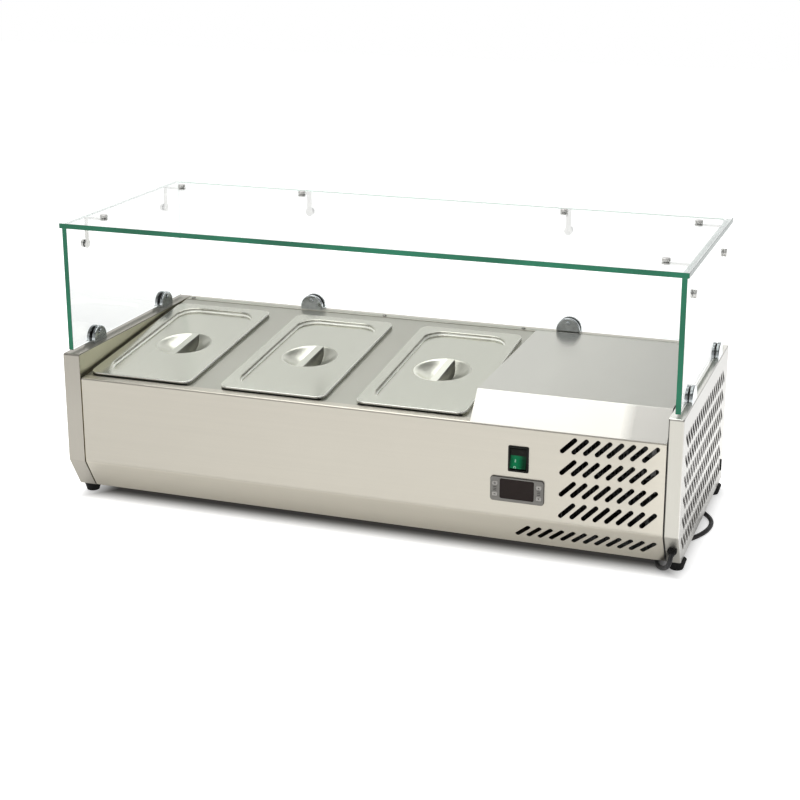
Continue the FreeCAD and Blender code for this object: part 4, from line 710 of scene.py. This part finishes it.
def printed_mark(name, node_name, body, middle, look, outer, inner=()):
    """Thin raised mark, dropped on a part from the front: outlines are offsets in x and z from a middle."""
    skin = part_skin(node_name)
    mesh = bmesh.new()
    rings = []
    for outline in (outer, inner):
        for lift in (-mark_rise, mark_sink):
            ring = []
            for x, z in outline:
                start = Vector((middle[0] + x, mark_start, middle[1] + z))
                hit = skin.ray_cast(start, backwards)[0]
                ring.append(mesh.verts.new((start.x, hit.y + lift, start.z)))
            rings.append(ring)
    front, back, hole_front, hole_back = rings
    band(mesh, front, back)
    if inner:
        band(mesh, hole_back, hole_front)
        band(mesh, hole_front, front)
        band(mesh, back, hole_back)
    else:
        mesh.faces.new(front)
        mesh.faces.new(list(reversed(back)))
    bmesh.ops.recalc_face_normals(mesh, faces=mesh.faces)
    data = bpy.data.meshes.new(name)
    mesh.to_mesh(data)
    mesh.free()
    data.materials.append(look.material)
    piece = bpy.data.objects.new(name, data)
    scene.collection.objects.link(piece)
    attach(piece, body)


def round_outline(radius, count=20):
    angles = [math.tau * index / count for index in range(count)]
    return [(radius * math.cos(angle), radius * math.sin(angle)) for angle in angles]


def bar_outline(width, height):
    x = width / 2
    z = height / 2
    return [(-x, -z), (x, -z), (x, z), (-x, z)]


def arrow_outline(width, height):
    return [(-width / 2, -height / 2), (width / 2, -height / 2), (0, height / 2)]


# Marks on the switch: a bar and a ring, at places measured from the middle of its bezel
switch_x, switch_z = part_middle("switch_bezel")
switch_mark_x = switch_x - 0.0042
on_place = (switch_mark_x, switch_z - 0.0025)
off_place = (switch_mark_x, switch_z - 0.0118)
on_bar = bar_outline(width=0.0018, height=0.0042)
off_ring = round_outline(radius=0.0021)
off_hole = round_outline(radius=0.0010)
printed_mark("switch_mark_on", "switch_rocker", "rocker", on_place, switch_print, on_bar)
printed_mark("switch_mark_off", "switch_rocker", "rocker", off_place, switch_print, off_ring, off_hole)

# Marks on the keys: two arrows, a ring and a bar
key_outlines = {
    "key_up": [arrow_outline(width=0.0030, height=0.0024)],
    "key_down": [arrow_outline(width=0.0030, height=-0.0024)],
    "key_set": [round_outline(radius=0.0015), round_outline(radius=0.0008)],
    "key_defrost": [bar_outline(width=0.0030, height=0.0010)],
}
for key, outlines in key_outlines.items():
    printed_mark(key.replace("key_", "key_mark_"), key, key, part_middle(key), key_print, *outlines)

# Dashes on the bezel, between the keys of each column
dash = bar_outline(width=0.0046, height=0.0010)
dash_step = 0.0026
bezel_z = part_middle("controller_bezel")[1]
for column in ("set", "up"):
    key_x = part_middle(f"key_{column}")[0]
    for step in (-1, 0, 1):
        dash_name = f"bezel_dash_{column}_{step + 1}"
        dash_place = (key_x, bezel_z + step * dash_step)
        printed_mark(dash_name, "controller_bezel", "cabinet", dash_place, key_print, dash)

# Mains cord: the route on the floor, then the put-away coil, as one spline
right_side = 0.495
front_side = -0.2001
depth = 0.4002
cord_radius = 0.0036
rest_height = 0.00375
gland_place = Vector((0.484, -0.1849, 0.0402))
gland_reach = 0.008
exit_direction = Vector((0, -0.862, -0.507))
exit_run = 0.0058
cord_exit = gland_place + exit_direction * gland_reach

# Each spot: how far inwards from the right side, its share of the depth, and how far above the floor
cord_spots = [
    (0.0119, 0.003, 0.02345),
    (0.0142, 0.0105, 0.01665),
    (0.0182, 0.027, 0.01085),
    (0.0232, 0.0475, 0.00565),
    (0.0292, 0.0712, 0.00165),
    (0.0352, 0.0985, 0.0),
    (0.0402, 0.131, 0.0),
    (0.0432, 0.167, 0.0),
    (0.0428, 0.210, 0.0),
    (0.0340, 0.275, 0.0),
    (0.0170, 0.350, 0.0),
    (-0.0030, 0.423, 0.0),
    (-0.0140, 0.510, 0.0),
    (-0.0120, 0.598, 0.0),
    (0.0060, 0.668, 0.0),
    (0.0320, 0.723, 0.0),
    (0.0570, 0.783, 0.0),
    (0.0750, 0.858, 0.0),
    (0.0850, 0.945, 0.0002),
]
coil_centre = Vector((0.361, 0.2561, 0.0046))
coil_radius = 0.047
coil_step = 0.0039
coil_layer = 0.0078
coil_lead = 0.041
inward_turns = 4
half_turn_points = 12
plug_aside = 0.040
plug_lead = 0.022

route = [cord_exit, cord_exit + exit_direction * exit_run]
for inwards, share, lift in cord_spots:
    route.append(Vector((right_side - inwards, front_side + share * depth, rest_height + lift)))
route.append(coil_centre + Vector((coil_radius, -coil_lead, 0)))


def turn_points(offset, radius, start, sweep, low, high):
    """Points on part of a turn, from the start angle on, rising from low to high."""
    count = round(half_turn_points * sweep / math.pi)
    reach = radius / math.cos(math.pi / half_turn_points / 2)
    points = []
    for step in range(count):
        share = (step + 0.5) / count
        angle = start + sweep * share
        rise = low + (high - low) * share
        points.append(coil_centre + Vector((offset + reach * math.cos(angle), reach * math.sin(angle), rise)))
    return points


# Half turns inwards on the floor, one that climbs, then half turns outwards on top of them
for index in range(inward_turns):
    start = 0.0 if index % 2 == 0 else math.pi
    offset = 0.0 if index % 2 == 0 else -coil_step
    route += turn_points(offset, coil_radius - index * coil_step, start, math.pi, 0.0, 0.0)
route += turn_points(0.0, coil_radius - inward_turns * coil_step, 0.0, math.pi, 0.0, coil_layer)
for index in range(inward_turns - 1):
    start = math.pi if index % 2 == 0 else 0.0
    offset = coil_step if index % 2 == 0 else 0.0
    radius = coil_radius - (inward_turns - 1 - index) * coil_step
    route += turn_points(offset, radius, start, math.pi, coil_layer, coil_layer)
route += turn_points(0.0, coil_radius, 0.0, math.pi / 2, coil_layer, coil_layer)
plug_entry = coil_centre + Vector((-plug_aside, coil_radius, coil_layer))
route += [plug_entry + Vector((plug_lead, 0, 0)), plug_entry]

cord_curve = bpy.data.curves.new("power_cord", "CURVE")
cord_curve.dimensions = "3D"
cord_curve.bevel_depth = cord_radius
cord_curve.bevel_resolution = 6
cord_curve.resolution_u = 6
cord_curve.use_fill_caps = True
spline = cord_curve.splines.new("NURBS")
spline.points.add(len(route) - 1)
for point, place in zip(spline.points, route):
    point.co = (place.x, place.y, place.z, 1)
spline.order_u = 3
spline.use_endpoint_u = True
cord_curve.materials.append(cord_black)
power_cord = bpy.data.objects.new("power_cord", cord_curve)
scene.collection.objects.link(power_cord)
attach(power_cord, "cabinet")
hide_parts("mains_cord", "cord_coil")

# Studio floor: tones, glow levels, and the ranges they change over, in metres outside the machine's outline.
# The dark tones paint a shadow under the machine's edges, and the glow, raised beside the right side and
# along the edges, paints light over the shadow there
floor_reach = 6.0
floor_tones = ((0.92, 0.92, 0.92), (0.95, 0.95, 0.95))
shade_to_eye = (0.085, 0.073, 0.062)
shade_to_part = (0.64, 0.62, 0.57)
right_shade = 0.012
eye_range = (-0.054, -0.006)
part_range = (-0.06, -0.02)
near_range = (-0.01, 0.10)
far_range = (0.5, 1.5)
edge_range = (-0.048, 0.002)
left_glow = 0.18
right_glow = 0.46
far_glow = 0.7
side_glow = 0.7
edge_glow = 0.7
under_loss = 0.85

# The glow's ranges from left to right, in metres from the machine's middle
around_range = (-0.6, 0.35)
side_range = (0.49, 0.61)

# Studio room: levels in mirrors, and the ranges of direction that they change over
white = (1, 1, 1, 1)
front_level = 0.5
right_level = 0.25
gap_level = 0.35
ambient_level = 0.52
front_range = (-0.35, 0.25)
right_range = (0.20, 0.40)
above_range = (0.02, 0.16)
gap_range = (0.54, 0.68)

# Studio lamp
lamp_place = Vector((-0.5, 0.15, 2.2))
lamp_target = Vector((-0.5, 0.15, 0.0))
lamp_width = 1.6
lamp_length = 3.1
lamp_power = 33.0


def seen_directly(tree):
    """One for rays from the camera, a mirror or glass, else nought."""
    path = add(tree, "ShaderNodeLightPath")
    either = maths(tree, "MAXIMUM", path.outputs["Is Camera Ray"], path.outputs["Is Glossy Ray"])
    return maths(tree, "MAXIMUM", either, path.outputs["Is Transmission Ray"])


def floor_material():
    """White floor: it keeps the lamp's shadow and has a painted shadow under the machine's edges; its glow,
    raised as painted light beside the right side and along the edges, shows only to the eye, in mirrors and
    through glass.
    """
    material, tree = new_material("floor")
    speckle = even_noise(tree, scale=30.0, detail=2.0)
    place = axes(tree)
    to_eye = add(tree, "ShaderNodeLightPath").outputs["Is Camera Ray"]
    beyond_right = maths(tree, "SUBTRACT", place["X"], right_side + right_shade)
    beyond_left = maths(tree, "SUBTRACT", maths(tree, "MULTIPLY", place["X"], -1.0), right_side)
    beyond_x = maths(tree, "MAXIMUM", beyond_right, beyond_left)
    beyond_y = maths(tree, "SUBTRACT", maths(tree, "ABSOLUTE", place["Y"]), depth / 2)
    outside = maths(tree, "MAXIMUM", beyond_x, beyond_y)

    # Painted shadow: the floor's tone darkens under the machine near its edges, deeper to the eye than to
    # other rays
    open_floor = mixed(tree, speckle, *floor_tones)
    eye_tone = mixed(tree, ranged(tree, outside, *eye_range), shade_to_eye, open_floor)
    part_tone = mixed(tree, ranged(tree, outside, *part_range), shade_to_part, open_floor)
    matt = add(tree, "ShaderNodeBsdfDiffuse")
    wire(tree, mixed(tree, to_eye, part_tone, eye_tone), matt.inputs["Color"])

    # Glow: raised beside the right side and, to the eye, along the edges as painted light; dimmed to the eye
    # under the machine as painted shade
    around = ranged(tree, place["X"], *around_range, left_glow, right_glow)
    near = maths(tree, "MULTIPLY", around, ranged(tree, outside, *near_range))
    level = maths(tree, "MAXIMUM", near, ranged(tree, outside, *far_range, left_glow, far_glow))
    level = maths(tree, "MAXIMUM", level, ranged(tree, place["X"], *side_range, 0.0, side_glow))
    dimmed = maths(tree, "MULTIPLY", to_eye, ranged(tree, outside, *eye_range, under_loss, 0.0))
    level = maths(tree, "MULTIPLY", level, maths(tree, "SUBTRACT", 1.0, dimmed))
    edge = ranged(tree, outside, *edge_range, 0.0, edge_glow)
    level = maths(tree, "MAXIMUM", level, maths(tree, "MULTIPLY", edge, to_eye))
    glow = add(tree, "ShaderNodeEmission")
    wire(tree, maths(tree, "MULTIPLY", seen_directly(tree), level), glow.inputs["Strength"])

    both = add(tree, "ShaderNodeAddShader")
    wire(tree, matt.outputs[0], both.inputs[0])
    wire(tree, glow.outputs[0], both.inputs[1])
    surface(tree, both.outputs[0])
    return material


def studio_world():
    """White to the eye; in mirrors a white backdrop with a darker room above, in front and to the right."""
    world = bpy.data.worlds.new("studio")
    world.use_nodes = True
    tree = world.node_tree
    tree.nodes.clear()
    direction = axes(tree, "Generated")
    front = ranged(tree, direction["Y"], *front_range, front_level, 1.0)
    right = ranged(tree, direction["X"], *right_range, 1.0, right_level)
    darkest = maths(tree, "MULTIPLY", front, right)
    above = ranged(tree, direction["Z"], *above_range)
    loss = maths(tree, "MULTIPLY", above, maths(tree, "SUBTRACT", 1.0, darkest))
    backdrop = ranged(tree, direction["Z"], *gap_range, 1.0, gap_level)
    level = maths(tree, "MULTIPLY", backdrop, maths(tree, "SUBTRACT", 1.0, loss))
    path = add(tree, "ShaderNodeLightPath")
    level = maths(tree, "MAXIMUM", level, path.outputs["Is Camera Ray"])
    room = add(tree, "ShaderNodeBackground", {"Color": white})
    wire(tree, level, room.inputs["Strength"])
    ambient = add(tree, "ShaderNodeBackground", {"Color": white, "Strength": ambient_level})
    both = mixed_shader(tree, seen_directly(tree), ambient.outputs[0], room.outputs[0])
    wire(tree, both, add(tree, "ShaderNodeOutputWorld").inputs["Surface"])
    scene.world = world


floor_mesh = bpy.data.meshes.new("floor")
corners = [(-floor_reach, -floor_reach, 0), (floor_reach, -floor_reach, 0)]
corners += [(floor_reach, floor_reach, 0), (-floor_reach, floor_reach, 0)]
floor_mesh.from_pydata(corners, [], [(0, 1, 2, 3)])
floor = bpy.data.objects.new("floor", floor_mesh)
floor.data.materials.append(floor_material())
scene.collection.objects.link(floor)
studio_world()

lamp = bpy.data.lights.new("overhead", "AREA")
lamp.shape = "RECTANGLE"
lamp.size = lamp_width
lamp.size_y = lamp_length
lamp.energy = lamp_power
lamp_holder = bpy.data.objects.new("overhead", lamp)
lamp_holder.location = lamp_place
lamp_holder.rotation_euler = (lamp_target - lamp_place).to_track_quat("-Z", "Y").to_euler()
scene.collection.objects.link(lamp_holder)
